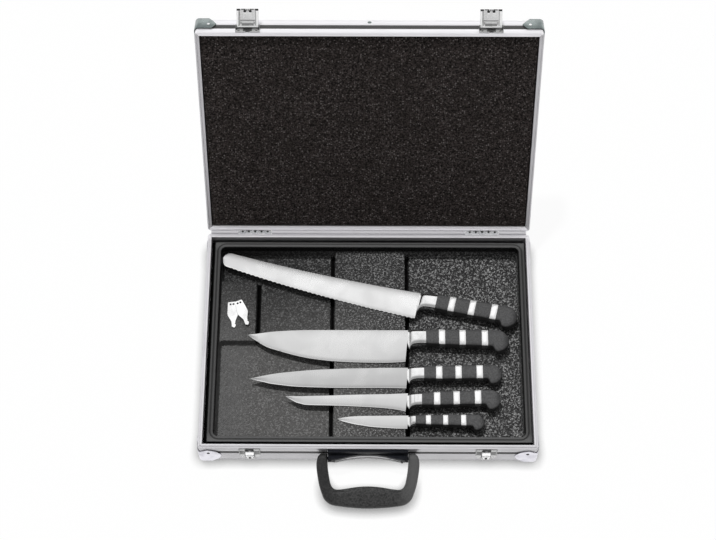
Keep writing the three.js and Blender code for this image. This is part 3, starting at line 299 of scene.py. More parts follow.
def make_panel_sheet(half):
    """Outer sheet of the case: pale metal skin rolled with a fine pebble."""
    net = Material(f"panel sheet {half}", 0.85, 0.4)
    place = net.shut_place(half == "lid")
    grain = net.use(MOULDED_GRAIN, Vector=place, Grain=420.0, Depth=0.35)
    marks = net.use(HANDLING_MARKS, Vector=place, Size=9.0)
    tone = net.blend(grain["Pebble"], (0.56, 0.57, 0.585, 1), (0.70, 0.71, 0.72, 1))
    tone = net.blend(net.mul(marks["Scratch"], 0.35), tone, (0.80, 0.80, 0.81, 1))
    rough = net.ramp(net.add(grain["Drift"], marks["Smudge"]), 0.3, 1.4, 0.34, 0.52)
    return net.feed(Base_Color=tone, Roughness=rough, Normal=grain["Normal"])


def make_plated_steel(name, low, high, roughness, metallic=1.0, upright=1.0):
    """Bright plating on pressed steel, with faint handling marks. Upright faces keep only a share of the
    tone: painted shade.
    """
    net = Material(name, metallic, roughness)
    place = net.place()
    marks = net.use(HANDLING_MARKS, Vector=place, Size=70.0)
    tone = net.blend(marks["Smudge"], high, low)
    tone = net.blend(net.mul(marks["Scratch"], 0.25), tone, grey(0.92))
    if upright < 1:
        tone = net.scaled(tone, net.painted_upright_shade(0.25, 0.65, upright))
    rough = net.ramp(marks["Smudge"], 0, 1, roughness - 0.03, roughness + 0.09)
    return net.feed(Base_Color=tone, Roughness=rough,
                    Normal=net.bump(net.noise(place, 160, 2), 0.12, 0.0006))


def make_latch_steel(name, tone, patches, plain=0.9):
    """Plated stamping painted with light and shade: patches are (middle and half size across, middle and half
    size along, tone), on the part's own map in mm, and the same left and right. Dark patches paint shade in
    recesses, holes and folds, and bright ones paint light on flanges and edges."""
    net = Material(name, plain, 0.22)
    marks = net.use(HANDLING_MARKS, Vector=net.place(), Size=70.0)
    own = net.node("ShaderNodeAttribute", attribute_name="stamping")["Vector"]
    across, _, along = net.split(own)
    across = net.maths("ABSOLUTE", across)
    pressed = net.noise(own, 0.9, 3)
    colour = net.blend(net.ramp(pressed, 0.3, 0.7), grey(tone * 0.8), grey(tone))
    metal = plain
    for x, half_x, z, half_z, value in patches:
        mask = net.use(PATCH, **{"Across": across, "Along": along, "Across Middle": x, "Across Half": half_x,
                                 "Along Middle": z, "Along Half": half_z})["Mask"]
        colour = net.blend(mask, colour, grey(value))
        metal = net.sub(metal, net.mul(mask, 0.9 * plain if value < 0.1 else 0.0))
    colour = net.blend(net.mul(marks["Scratch"], 0.2), colour, grey(0.85))
    return net.feed(Base_Color=colour, Metallic=metal, Normal=net.bump(pressed, 0.3, 0.0008),
                    Roughness=net.ramp(marks["Smudge"], 0, 1, 0.2, 0.34))


def make_blade_steel(name, low, high):
    """Ground steel: the belt's lines run from the spine to the edge, on the blade's own map."""
    net = Material(f"{name} blade steel", 1.0, 0.27)
    flat = net.node("ShaderNodeUVMap", uv_map="grind")[0]
    lines = net.use(FINE_LINES, Vector=net.mapped(flat, (1700, 14, 1)), Depth=0.10)
    smudge = net.use(HANDLING_MARKS, Vector=net.place(), Size=22.0)["Smudge"]
    tone = net.blend(lines["Lines"], grey(low), grey(high))
    tone = net.blend(net.mul(smudge, 0.25), tone, grey(low * 0.94))
    rough = net.ramp(net.add(lines["Lines"], net.mul(smudge, 0.5)), 0.2, 1.2, 0.22, 0.38)
    return net.feed(Base_Color=tone, Roughness=rough, Normal=lines["Normal"])


def make_edge_steel():
    """The honed edge: a finer polished bevel, painted paler than the ground face as a painted highlight along
    the edge.
    """
    net = Material("honed edge", 1.0, 0.2)
    flat = net.node("ShaderNodeUVMap", uv_map="grind")[0]
    lines = net.use(FINE_LINES, Vector=net.mapped(flat, (2600, 40, 1)), Depth=0.08)
    return net.feed(Base_Color=net.blend(lines["Lines"], grey(0.86), grey(0.97)), Normal=lines["Normal"],
                    Roughness=net.ramp(lines["Lines"], 0, 1, 0.16, 0.28))


def make_grip_plastic():
    """Dense dark grey handle plastic, with the fine lines of its polishing."""
    net = Material("grip plastic", 0.0, 0.46)
    place = net.place()
    grain = net.use(MOULDED_GRAIN, Vector=place, Grain=3400.0, Depth=0.10)
    lines = net.use(FINE_LINES, Vector=net.mapped(place, (60, 1400, 1400)), Depth=0.05)["Lines"]
    mottle = net.ramp(net.noise(place, 480, 2), 0.35, 0.65, 0.0, 0.7)
    tone = net.blend(net.add(net.mul(lines, 0.3), mottle), (0.040, 0.040, 0.041, 1), (0.095, 0.095, 0.096, 1))
    # Painted shade: the grip's upright sides are darker.
    tone = net.scaled(tone, net.painted_upright_shade(0.3, 0.8, 0.32))
    rough = net.ramp(net.add(grain["Pebble"], grain["Drift"]), 0.3, 1.6, 0.40, 0.56)
    return net.feed(Base_Color=tone, Roughness=rough, Normal=grain["Normal"])


def make_handle_plastic(name, low, high, grain_size, shine=0.5, legs=None):
    """Black moulded plastic with a spark-eroded skin. With legs given, upright faces are painted darker as
    painted shade, and the left leg is painted darker, the right lighter, as painted shade and light.
    """
    net = Material(name, 0.0, 0.5, Specular_IOR_Level=shine)
    place = net.place()
    grain = net.use(MOULDED_GRAIN, Vector=place, Grain=grain_size, Depth=0.22)
    marks = net.use(HANDLING_MARKS, Vector=place, Size=34.0)
    tone = net.blend(net.ramp(net.noise(place, 460, 2), 0.35, 0.65), low, high)
    tone = net.blend(net.mul(marks["Scratch"], 0.12), tone, grey(0.14))
    if legs:
        tone = net.scaled(tone, net.painted_upright_shade(0.45, 0.88, 0.22))
        # Painted shade on the left leg, painted light on the right leg.
        x = net.split(place)[0]
        tone = net.blend(net.ramp(x, -0.03, -0.052, 0, 0.6), tone, grey(legs[0]))
        tone = net.blend(net.ramp(x, 0.035, 0.056, 0, 0.75), tone, grey(legs[1]))
    rough = net.ramp(net.add(grain["Pebble"], marks["Smudge"]), 0.2, 1.6, 0.42, 0.62)
    return net.feed(Base_Color=tone, Roughness=rough, Normal=grain["Normal"])


def make_tray_plastic():
    """Vacuum-formed sheet: a leather grain whose crowns catch the light, painted as pale crowns and painted
    glints that grow towards the right. It is plain on the flange.
    Painted light makes it smoother and paler at the front left and paler on the flange's front and back;
    painted shade darkens the back left corner and turns near black in the deep slots, on the walls and on the
    hem."""
    net = Material("tray plastic", 0.0, 0.42)
    place = net.place()
    x, y, z = net.split(place)
    cells = net.cells(place, 390)
    chosen = net.node("ShaderNodeSeparateColor", {0: cells["Color"]})[0]
    crown = net.add(net.ramp(cells["Distance"], 0.55, 0.1), net.mul(net.noise(place, 620, 3, 0.7), 0.6))
    # Painted glints, growing towards the right.
    glint = net.mul(net.ramp(net.noise(place, 430, 2, 0.65), 0.51, 0.65),
                    net.ramp(x, -0.12, 0.14, 0.5, 0.9))
    # Painted shade at the back left corner, and a painted sheen, smoother and paler, at the front left.
    back = net.ramp(y, -0.01, 0.10)
    corner = net.mul(net.ramp(x, -0.12, 0.0, 1, 0), back)
    front_left = net.mul(net.ramp(x, -0.06, 0.06, 1, 0), net.sub(1.0, back))
    far_left = net.ramp(x, -0.14, -0.19)
    tone = net.blend(net.ramp(crown, 0.35, 0.85), grey(0.016), net.ramp(chosen, 0, 1, 0.015, 0.115))
    tone = net.blend(glint, tone, grey(0.40))
    tone = net.blend(net.ramp(net.noise(place, 11, 2), 0.35, 0.65, 0.0, 0.25), tone, grey(0.04))
    tone = net.blend(net.mul(front_left, 0.42), tone, (0.175, 0.172, 0.168, 1))
    tone = net.blend(net.mul(corner, 0.5), tone, grey(0.006))
    tone = net.blend(net.mul(far_left, net.mul(front_left, 0.7)), tone, grey(0.125))
    # Painted light: the plain flange is paler at its front and at its back.
    flange = net.ramp(z, (TRAY_RIM - 1.5) * MM, (TRAY_RIM - 1.2) * MM)
    tone = net.blend(flange, tone, net.add(net.ramp(y, -0.137, -0.125, 0.110, 0.060),
                                           net.ramp(y, 0.130, 0.138, 0.0, 0.035)))
    # Painted shade: near black with little shine in the deep slots, on the walls and on the hem.
    deep = net.ramp(z, SLOT_FLOOR * MM, (FLOOR_RISE - 1) * MM, 1.0, 0.0)
    hems = [net.ramp(net.maths("ABSOLUTE", net.sub(way, middle * MM)), (half - 1.2) * MM, (half - 0.2) * MM)
            for way, middle, half in zip((x, y), TRAY_MIDDLE, TRAY_HALF)]
    wall = net.mul(net.ramp(z, PLATEAU_RISE * MM, (PLATEAU_RISE + 3) * MM),
                   net.ramp(z, (TRAY_RIM - 0.3) * MM, (TRAY_RIM - 1.6) * MM))
    shaded = net.mul(wall, 0.9)
    for share in (deep, *hems):
        shaded = net.maths("MAXIMUM", shaded, share)
    tone = net.blend(shaded, tone, grey(0.003))
    return net.feed(Base_Color=tone, Roughness=net.ramp(crown, 0, 1.3, 0.60, 0.36),
                    Specular_IOR_Level=net.ramp(shaded, 0, 1, 0.45, 0.04),
                    Normal=net.bump(crown, net.ramp(flange, 0, 1, 0.85, 0.15), 0.0011))


def make_lid_foam():
    """Open-cell foam: brown-black cell walls, dark pores, and pale flecks where a wall catches light."""
    net = Material("lid foam", 0.0, 0.95, Specular_IOR_Level=0.12)
    place = net.place()
    fine = net.noise(place, 420, 3, 0.75)
    cells = net.cells(place, 400)
    chosen = net.node("ShaderNodeSeparateColor", {0: cells["Color"]})[0]
    fleck = net.mul(net.ramp(cells["Distance"], 0.5, 0.25), net.ramp(chosen, 0.6, 1.0))
    tone = net.blend(net.ramp(fine, 0.40, 0.68), (0.0018, 0.0015, 0.0014, 1), (0.098, 0.082, 0.078, 1))
    tone = net.blend(net.ramp(net.noise(place, 26, 3), 0.35, 0.7, 0, 0.3), tone, (0.020, 0.0165, 0.0145, 1))
    tone = net.blend(net.mul(fleck, 0.75), tone, (0.26, 0.235, 0.23, 1))
    height = net.add(net.mul(net.cells(place, 620)["Distance"], -1.0), net.mul(fine, 0.8))
    return net.feed(Base_Color=tone, Normal=net.bump(height, 0.7, 0.0009))


def make_shade_black():
    """Near black that paints shade: in holes, in the gaps between hinge knuckles, on the base caps' rivets
    and on the handle's stop.
    """
    net = Material("shade black", 0.0, 0.6)
    grain = net.use(MOULDED_GRAIN, Vector=net.place(), Grain=3000.0, Depth=0.2)
    return net.feed(Base_Color=net.blend(grain["Pebble"], grey(0.008), grey(0.02)), Normal=grain["Normal"])


# Both halves share one extrusion: the lid's frame is painted brighter than the base's, as painted light.
FRAME = {"base": make_frame_aluminium("base", 0.60, 0.78), "lid": make_frame_aluminium("lid", 0.84, 0.96)}
BAND = {half: make_dark_band(half) for half in FRAME}
PANEL = {half: make_panel_sheet(half) for half in FRAME}
PLATED = make_plated_steel("plated steel", (0.66, 0.67, 0.69, 1), (0.80, 0.81, 0.825, 1), 0.17)
# The same plating on the caps of both halves: the lid's are painted much darker, as painted shade, and their
# upright leaves darker still.
CAP = {"base": make_plated_steel("satin plated steel", (0.50, 0.49, 0.54, 1), (0.64, 0.63, 0.68, 1), 0.32),
       "lid": make_plated_steel("dull plated steel", (0.17, 0.20, 0.20, 1), (0.25, 0.29, 0.285, 1), 0.3,
                                upright=0.12)}
# Painted light and shade on the latch parts: dark patches for the shade on the clasp's curled tip, holes and
# folds, the bracket's plate and ends, the catch's recesses and the lock's keyhole; bright patches for the
# light on the clasp's flanges, the spring's lower edge and the catch's nose.
CLASP = make_latch_steel("clasp steel", 0.88, [
    (12.0, 2.0, -11.0, 9.0, 0.99), (9.8, 0.35, -11.0, 9.0, 0.20), (13.5, 0.3, -11.5, 12, 0.15),
    (11.2, 2.3, -22.2, 1.6, 0.012), (5.2, 2.6, -22.6, 0.9, 0.06), (0.9, 0.5, -21.5, 1.2, 0.05),
    (0, 9.0, -8.2, 0.6, 0.16), (0, 9.0, -5.0, 1.6, 0.40)], plain=0.1)
CLASP_BRACKET = make_latch_steel("clasp bracket steel", 0.5, [
    (0, 15, 12.4, 3.2, 0.02), (0, 5.5, 5.2, 3.6, 0.012), (0, 1.2, 0.9, 1.0, 0.8),
    (10.8, 1.3, 3.4, 1.2, 0.03), (13.4, 1.0, 6.2, 1.8, 0.04)])
SPRING = make_latch_steel("clasp spring steel", 0.80, [(0, 7.4, -2.9, 1.5, 0.25), (0, 8, -0.9, 0.4, 0.99)],
                          plain=0.1)
CATCH = make_latch_steel("catch steel", 0.46, [
    (0, 5.5, 36.0, 4.0, 0.02), (0, 5.0, 27.5, 4.5, 0.95), (9.0, 3.2, 29.0, 6.5, 0.03),
    (12.9, 0.8, 29.0, 9.0, 0.2), (0, 6.5, 21.2, 0.9, 0.06), (0, 9, 12.2, 1.2, 0.25)])
LOCK = make_latch_steel("lock steel", 0.80, [(0, 1.7, 16.5, 5.0, 0.01)])
KEY_STEEL = make_plated_steel("key steel", grey(0.72), grey(0.80), 0.2)
# Painted shade: the bolsters' upright faces are darker.
BOLSTER = make_plated_steel("bolster steel", grey(0.60), grey(0.68), 0.16, upright=0.6)
# One steel for all five blades, painted at a tone each for how brightly it reflects: painted reflection.
BLADES = {name: make_blade_steel(name, low, high) for name, low, high in (
    ("bread", 0.72, 0.84), ("chef", 0.58, 0.68), ("slicing", 0.46, 0.56), ("boning", 0.54, 0.66),
    ("paring", 0.55, 0.68))}
# Near white with little metal: a painted reflection for the polished rings, also on the lid caps' rivets and
# the bracket's trim; upright sides painted dark as painted shade.
RING = make_plated_steel("ring steel", grey(0.92), grey(0.97), 0.22, metallic=0.4, upright=0.15)
HONED = make_edge_steel()
GRIP = make_grip_plastic()
HANDLE_BLACK = make_handle_plastic("handle plastic", grey(0.012), grey(0.052), 1100.0, legs=(0.008, 0.105))
BRACKET_BLACK = make_handle_plastic("bracket plastic", (0.003, 0.0035, 0.006, 1), (0.005, 0.006, 0.010, 1),
                                    1800.0, shine=0.25)
TRAY = make_tray_plastic()
FOAM = make_lid_foam()
SHADE_BLACK = make_shade_black()


# Meshes

def finish_mesh(mesh, corner=35):
    """Merges doubles, turns faces out, and keeps edges crisp where they turn by more than corner degrees."""
    work = bmesh.new()
    work.from_mesh(mesh)
    bmesh.ops.remove_doubles(work, verts=work.verts, dist=1e-6)
    bmesh.ops.recalc_face_normals(work, faces=work.faces)
    work.to_mesh(mesh)
    work.free()
    mesh.shade_smooth()
    mesh.set_sharp_from_angle(angle=math.radians(corner))


def loose(mesh, name="tool"):
    piece = bpy.data.objects.new(name, mesh)
    bpy.context.collection.objects.link(piece)
    return piece


def add_piece(name, mesh, body, materials, replaces=()):
    piece = loose(mesh, name)
    for material in materials if isinstance(materials, list) else [materials]:
        mesh.materials.append(material)
    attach(piece, body)
    if replaces:
        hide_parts(*replaces)
    return piece


def mesh_of(points, faces, place=None, corner=35):
    """A mesh from points in mm, moved by place first."""
    mesh = bpy.data.meshes.new("mesh")
    mesh.from_pydata([(place @ Vector(p) if place else Vector(p)) * MM for p in points], [], faces)
    finish_mesh(mesh, corner)
    return mesh


def loft(loops, ring=False):
    """Points and faces that skin loops of equal length. A ring joins the last loop to the first."""
    count, last = len(loops[0]), (len(loops) - 1) * len(loops[0])
    faces = []
    for i in range(len(loops) if ring else len(loops) - 1):
        a, b = i * count, (i + 1) % len(loops) * count
        faces += [(a + j, a + (j + 1) % count, b + (j + 1) % count, b + j) for j in range(count)]
    if not ring:
        faces += [tuple(range(count))[::-1], tuple(range(last, last + count))]
    return [p for loop in loops for p in loop], faces


def quarter(count):
    """Cosine and sine of angles through a quarter turn."""
    return [(math.cos(math.pi / 2 * i / count), math.sin(math.pi / 2 * i / count)) for i in range(count + 1)]


def rounded_loop(half_x, half_y, radius, z, centre=(0, 0), steps=8):
    loop = []
    for turn, (sx, sy) in enumerate(((1, 1), (-1, 1), (-1, -1), (1, -1))):
        for i in range(steps + 1):
            a = math.pi / 2 * (turn + i / steps)
            loop.append((centre[0] + sx * (half_x - radius) + radius * math.cos(a),
                         centre[1] + sy * (half_y - radius) + radius * math.sin(a), z))
    return loop


def between(x0, x1, y0, y1, radius, z, steps):
    """A rounded loop between two limits each way."""
    return rounded_loop((x1 - x0) / 2, (y1 - y0) / 2, radius, z, ((x0 + x1) / 2, (y0 + y1) / 2), steps)


def filleted(profile, steps=3):
    """A closed outline of (a, b, radius) with each corner rounded."""
    result = []
    for i, (a, b, radius) in enumerate(profile):
        here = Vector((a, b))
        before = Vector(profile[i - 1][:2]) - here
        after = Vector(profile[(i + 1) % len(profile)][:2]) - here
        half = before.angle(after) / 2
        reach = min(radius / max(math.tan(half), 0.05), before.length * 0.45, after.length * 0.45)
        if radius <= 0 or half > math.radians(85):
            result.append(here)
            continue
        start, end = here + before.normalized() * reach, here + after.normalized() * reach
        for k in range(steps + 1):
            t = k / steps
            result.append(start * (1 - t) ** 2 + here * 2 * t * (1 - t) + end * t * t)
    return result


def smooth_line(points, steps=6):
    """Catmull-Rom curve through points."""
    points = [Vector(point) for point in points]
    result = []
    for i in range(len(points) - 1):
        a, b, c, d = (points[max(min(i + k, len(points) - 1), 0)] for k in (-1, 0, 1, 2))
        for s in range(steps):
            t = s / steps
            result.append(0.5 * ((2 * b) + (c - a) * t + (2 * a - 5 * b + 4 * c - d) * t * t
                                 + (3 * b - a - 3 * c + d) * t ** 3))
    return result + [points[-1]]


def sweep_round(profile, place):
    """A profile of (inset, height, radius) swept round the case with mitred inner corners."""
    loops = [rounded_loop(HALF_WIDTH - p.x, HALF_DEPTH - p.x, max(4 - p.x, 0.15), p.y)
             for p in filleted(profile)]
    return mesh_of(*loft(loops, ring=True), place=place, corner=40)


def prism(outline, low, high, place=None):
    """An outline of (x, y) drawn up from low to high."""
    return mesh_of(*loft([[(x, y, z) for x, y in outline] for z in (low, high)]), place=place)


def evaluated_mesh(piece):
    """The piece's mesh with its modifiers applied. The piece itself is removed."""
    bpy.context.view_layer.update()
    graph = bpy.context.evaluated_depsgraph_get()
    mesh = bpy.data.meshes.new_from_object(piece.evaluated_get(graph))
    mesh.materials.clear()
    bpy.data.objects.remove(piece)
    return mesh


def in_metres(change):
    """A change written in mm, for meshes in metres."""
    return Matrix.Scale(MM, 4) @ change @ Matrix.Scale(1 / MM, 4)


def rounded_edges(mesh, width, segments=2, corner=30):
    """The mesh with its sharp edges rounded by width mm."""
    piece = loose(mesh)
    bevel = piece.modifiers.new("edges", "BEVEL")
    bevel.width = width * MM
    bevel.segments = segments
    bevel.limit_method = "ANGLE"
    bevel.angle_limit = math.radians(28)
    mesh = evaluated_mesh(piece)
    mesh.shade_smooth()
    mesh.set_sharp_from_angle(angle=math.radians(corner))
    return mesh


def combined(mesh, steps):
    """The mesh after each (operation, other mesh) in turn."""
    piece = loose(mesh)
    tools = [loose(other) for _, other in steps]
    for (operation, _), tool in zip(steps, tools):
        boolean = piece.modifiers.new("cut", "BOOLEAN")
        boolean.operation = operation
        boolean.solver = "EXACT"
        boolean.object = tool
    mesh = evaluated_mesh(piece)
    for tool in tools:
        bpy.data.objects.remove(tool)
    return mesh


def softened(cad_name, width, segments=2):
    """A copy of a CAD node's mesh with its faces merged and its edges rounded by width mm."""
    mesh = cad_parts[cad_name].data.copy()
    mesh.materials.clear()
    work = bmesh.new()
    work.from_mesh(mesh)
    bmesh.ops.remove_doubles(work, verts=work.verts, dist=2e-6)
    bmesh.ops.dissolve_limit(work, angle_limit=math.radians(1.5), verts=work.verts, edges=work.edges)
    work.to_mesh(mesh)
    work.free()
    return rounded_edges(mesh, width, segments)


def dress(cad_name, material):
    """A CAD node that keeps its shape gets its finish."""
    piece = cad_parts[cad_name]
    piece.data.materials.clear()
    piece.data.materials.append(material)


# Frames, bands and panels

def frame_profile(height, band_top, band_width, rim):
    """Outer face with its bead line and band channel, the rim, and the thin wall with its foot."""
    band_bottom = band_top - band_width
    bead = [(0, 2.5, 0.1), (0.35, 2.75, 0.1), (0.35, 3.15, 0.1), (0, 3.4, 0.1)]
    channel = [(0, band_bottom, 0.4), (BAND_DEPTH, band_bottom, 0.1), (BAND_DEPTH, band_top, 0.1),
               (0, band_top, 0.4)]
    inside = [(5.5, height - 8, 0.5), (2.2, height - 10.2, 0.5), (2.2, 3.8, 0.3), (10, 3.8, 0.3),
              (10, 2.3, 0.3), (2.2, 2.3, 0.1), (2.2, 0, 0.3), (0, 0, 0.9)]
    return bead + channel + rim + inside


def band_profile(band_top, band_width):
    """The inlay's face carries three low ribs."""
    top, bottom = band_top - 0.3, band_top - band_width + 0.3
    profile = [(0.95, bottom, 0.1), (0.55, bottom, 0.25)]
    for share in (0.28, 0.5, 0.72):
        z = bottom + (top - bottom) * share
        profile += [(0.5, z - 0.55, 0.2), (0.28, z, 0.3), (0.5, z + 0.55, 0.2)]
    return profile + [(0.55, top, 0.25), (0.95, top, 0.1)]


def add_frames():
    halves = (("base", None, BASE_HEIGHT, (BASE_BAND_TOP, BASE_BAND_WIDTH),
               [(0, 41, 0.6), (2.3, 41, 0.15), (2.6, 42.2, 0.4), (5.5, 42.2, 0.7)]),
              ("lid", LID, LID_HEIGHT, (LID_BAND_TOP, LID_BAND_WIDTH),
               [(0, 32, 0.6), (2.0, 32, 0.25), (2.0, 30.5, 0.15), (5.5, 30.5, 0.3)]))
    for cad, part, slot, finish in (("frame", "frame_rails", "frame_aluminium", FRAME),
                                    ("band", "band_inlay", "dark_band", BAND)):
        for half, place, height, band, rim in halves:
            profile = frame_profile(height, *band, rim) if cad == "frame" else band_profile(*band)
            if half == "lid":
                profile = [(inset, height - z, radius) for inset, z, radius in reversed(profile)]
            add_piece(f"{half}_{part}", sweep_round(profile, place), half, finish[half],
                      [f"{half}_{cad}"])
    for half, finish in PANEL.items():
        dress(f"{half}_panel", finish)


# Tray

def tray_wall(side, z):
    """Place of an outer wall's inner face at height z. A number stands for itself."""
    inset = FLANGE_WIDTH + (TRAY_RIM - z) * WALL_DRAFT
    walls = {"left": TRAY_LEFT + inset, "right": TRAY_RIGHT - inset, "front": TRAY_FRONT + inset,
             "back": TRAY_BACK - inset}
    return walls.get(side, side)


def tray_pocket(left, right, front, back, round_floor=2.2, lip=1.0, corner=5.5):
    """A cutter for one compartment. A limit given as a name is that outer wall, and a number is a
    place on the plateau's level, where the edge is rolled over."""
    heights = [(FLOOR_RISE + round_floor * (1 - c), round_floor * (1 - s), 0.0) for c, s in quarter(5)]
    heights += [(PLATEAU_RISE - lip + lip * s, 0.0, lip * (1 - c)) for c, s in quarter(5)[1:]]
    heights += [(PLATEAU_RISE + 3, 0.0, lip), (TRAY_RIM - 2.5, 0.0, lip)]
    loops = []
    for z, inward, outward in heights:
        slope = max(PLATEAU_RISE - z, 0) * POCKET_DRAFT
        x0, x1, y0, y1 = (
            tray_wall(limit, z) + sign * (inward + (0 if isinstance(limit, str) else slope - outward))
            for limit, sign in ((left, 1), (right, -1), (front, 1), (back, -1)))
        loops.append(between(x0, x1, y0, y1, min(corner, (x1 - x0) / 2.2, (y1 - y0) / 2.2), z, 6))
    return mesh_of(*loft(loops))


def tray_mouth(foot=2, lip=1.2):
    """The cutter down to the plateau, with its rolled edge at the flange."""
    heights = [(PLATEAU_RISE + foot * (1 - c), foot * (1 - s)) for c, s in quarter(5)]
    heights += [(TRAY_RIM - lip + lip * s, -lip * (1 - c)) for c, s in quarter(5)]
    heights.append((TRAY_RIM + 3, -lip))
    return mesh_of(*loft([between(
        tray_wall("left", z) + inward, tray_wall("right", z) - inward, tray_wall("front", z) + inward,
        tray_wall("back", z) - inward, 6.5 - inward, z, 8) for z, inward in heights]))


def slot_cutter(x0, x1, front, back):
    """A deep slot with a round bottom."""
    loops = []
    for z, inward in ((SLOT_FLOOR, 2.2), (SLOT_FLOOR + 0.6, 1.0), (SLOT_FLOOR + 2.0, 0.2),
                      (PLATEAU_RISE - 1, 0.0), (PLATEAU_RISE - 0.3, -0.25), (PLATEAU_RISE + 1, -0.9)):
        a, b = x0 + inward, x1 - inward
        loops.append(between(a, b, tray_wall(front, z) + inward, tray_wall(back, z) - inward,
                             min(1.2, (b - a) / 2.2), z, 4))
    return mesh_of(*loft(loops))


def tray_block():
    """The uncut tray: skin, hem and flange with its groove and ridge."""
    section = [(10.1, 2.4), (6.6, TRAY_RIM - 2.6), (1.5, TRAY_RIM - 2.6), (1.5, TRAY_HEM),
               (0, TRAY_HEM), (0, TRAY_RIM - 0.9), (0.25, TRAY_RIM - 0.3), (0.9, TRAY_RIM),
               (2.5, TRAY_RIM), (2.9, TRAY_RIM - 0.2), (3.3, TRAY_RIM - 0.85), (4.0, TRAY_RIM - 1.1),
               (4.7, TRAY_RIM - 0.85), (5.1, TRAY_RIM - 0.2), (5.5, TRAY_RIM), (9.5, TRAY_RIM)]
    return mesh_of(*loft([
        rounded_loop(TRAY_HALF[0] - inset, TRAY_HALF[1] - inset, 15 - inset if inset > 2.6 else 3, z,
                     TRAY_MIDDLE, 10) for inset, z in section]))


def add_tray():
    left_end, right_start = PLATEAU_LEFT - SLOT_WIDTH, PLATEAU_RIGHT + SLOT_WIDTH
    cutters = [
        tray_mouth(),
        tray_pocket("left", left_end, KEY_SHELF_BACK, "back"),
        tray_pocket(KEY_SHELF_RIGHT, PLATEAU_LEFT, "front", "back"),
        tray_pocket("left", left_end, "front", KEY_SHELF_FRONT),
        tray_pocket(PLATEAU_RIGHT, "right", "front", "back"),
        slot_cutter(KEY_SHELF_RIGHT, KEY_SHELF_RIGHT + SLOT_WIDTH, KEY_SHELF_FRONT, KEY_SHELF_BACK),
        slot_cutter(left_end, PLATEAU_LEFT, "front", "back"),
        slot_cutter(PLATEAU_RIGHT, right_start, "front", "back")]
    mesh = combined(tray_block(), [("DIFFERENCE", cutter) for cutter in cutters])
    finish_mesh(mesh, 30)
    add_piece("tray_sheet", mesh, "base", TRAY, ["tray"])


def add_gap_shade_strip():
    """A near-black strip across the gap between the tray's hem and the frame: the tray's hem shade paints it
    black, as painted shade in the gap.
    """
    half_x, half_y = TRAY_HALF[0] + 0.3, TRAY_HALF[1] + 0.3
    low, high = TRAY_HEM, TRAY_HEM + 1.2
    outside = (LINING[0] + 0.1, LINING[1] + 0.1)
    loops = [rounded_loop(*outside, 1, low, steps=3), rounded_loop(*outside, 1, high - 0.2, steps=3),
             rounded_loop(outside[0] - 0.2, outside[1] - 0.2, 1, high, steps=3),
             rounded_loop(half_x, half_y, 3.3, high, TRAY_MIDDLE, 3),
             rounded_loop(half_x, half_y, 3.3, low, TRAY_MIDDLE, 3)]
    add_piece("tray_gap_shade_strip", mesh_of(*loft(loops, ring=True)), "base", TRAY)


# Lid lining

def add_foam(low=2.5, high=26.4, soft=3.2):
    """A foam slab with soft edges and a face that is never quite flat."""
    heights = [(0, high)] + [(soft * (1 - c), low + soft * (1 - s)) for c, s in quarter(6)]
    points, faces = loft([rounded_loop(LINING[0] - inset, LINING[1] - inset, 2, z, steps=3)
                          for inset, z in heights])
    mesh = bpy.data.meshes.new("foam")
    mesh.from_pydata(points, [], faces)
    work = bmesh.new()
    work.from_mesh(mesh)
    for axis, half in (((1, 0, 0), LINING[0]), ((0, 1, 0), LINING[1])):
        for k in range(-11, 12):
            flat = [f for f in work.faces if abs(f.normal.z) > 0.9 and f.calc_center_median().z < 6]
            edges = {e for f in flat for e in f.edges}
            verts = {v for f in flat for v in f.verts}
            bmesh.ops.bisect_plane(work, geom=[*flat, *edges, *verts],
                                   plane_co=Vector(axis) * half * k / 12, plane_no=axis)
    for vert in work.verts:
        if vert.co.z < low + 0.4:
            vert.co.z += 0.35 + 0.3 * noise.noise(vert.co / 55)
    work.to_mesh(mesh)
    work.free()
    mesh.transform(Matrix.Scale(MM, 4) @ LID)
    finish_mesh(mesh, 40)
    piece = add_piece("lid_foam_pad", mesh, "lid", FOAM, ["lid_foam"])


# Corner caps, hinges and latches

def rivet_tree():
    """Domed rivet heads on the points of a mesh, each facing along the point's own direction."""
    tree = bpy.data.node_groups.new("rivet heads", "GeometryNodeTree")
    for name, way, kind in (("Points", "INPUT", "Geometry"), ("Radius", "INPUT", "Float"),
                            ("Rise", "INPUT", "Float"), ("Heads", "OUTPUT", "Geometry")):
        tree.interface.new_socket(name=name, in_out=way, socket_type=f"NodeSocket{kind}")
    net = Net(tree)
    start = net.node("NodeGroupInput")
    ball = net.node("GeometryNodeMeshUVSphere", {"Segments": 20, "Rings": 14, "Radius": 1.0})["Mesh"]
    size = net.node("ShaderNodeCombineXYZ", {0: start["Radius"], 1: start["Radius"], 2: start["Rise"]})[0]
    head = net.node("GeometryNodeTransform", {"Geometry": ball, "Scale": size})[0]
    facing = net.node("GeometryNodeInputNamedAttribute", {"Name": "facing"}, data_type="FLOAT_VECTOR")[0]
    turn = net.node("FunctionNodeAlignRotationToVector", {"Vector": facing}, axis="Z")[0]
    heads = net.node("GeometryNodeInstanceOnPoints",
                     {"Points": start["Points"], "Instance": head, "Rotation": turn})[0]
    heads = net.node("GeometryNodeRealizeInstances", {"Geometry": heads})[0]
    net.node("NodeGroupOutput", {"Heads": net.node("GeometryNodeSetShadeSmooth", {"Geometry": heads})[0]})
    return tree


RIVETS = rivet_tree()


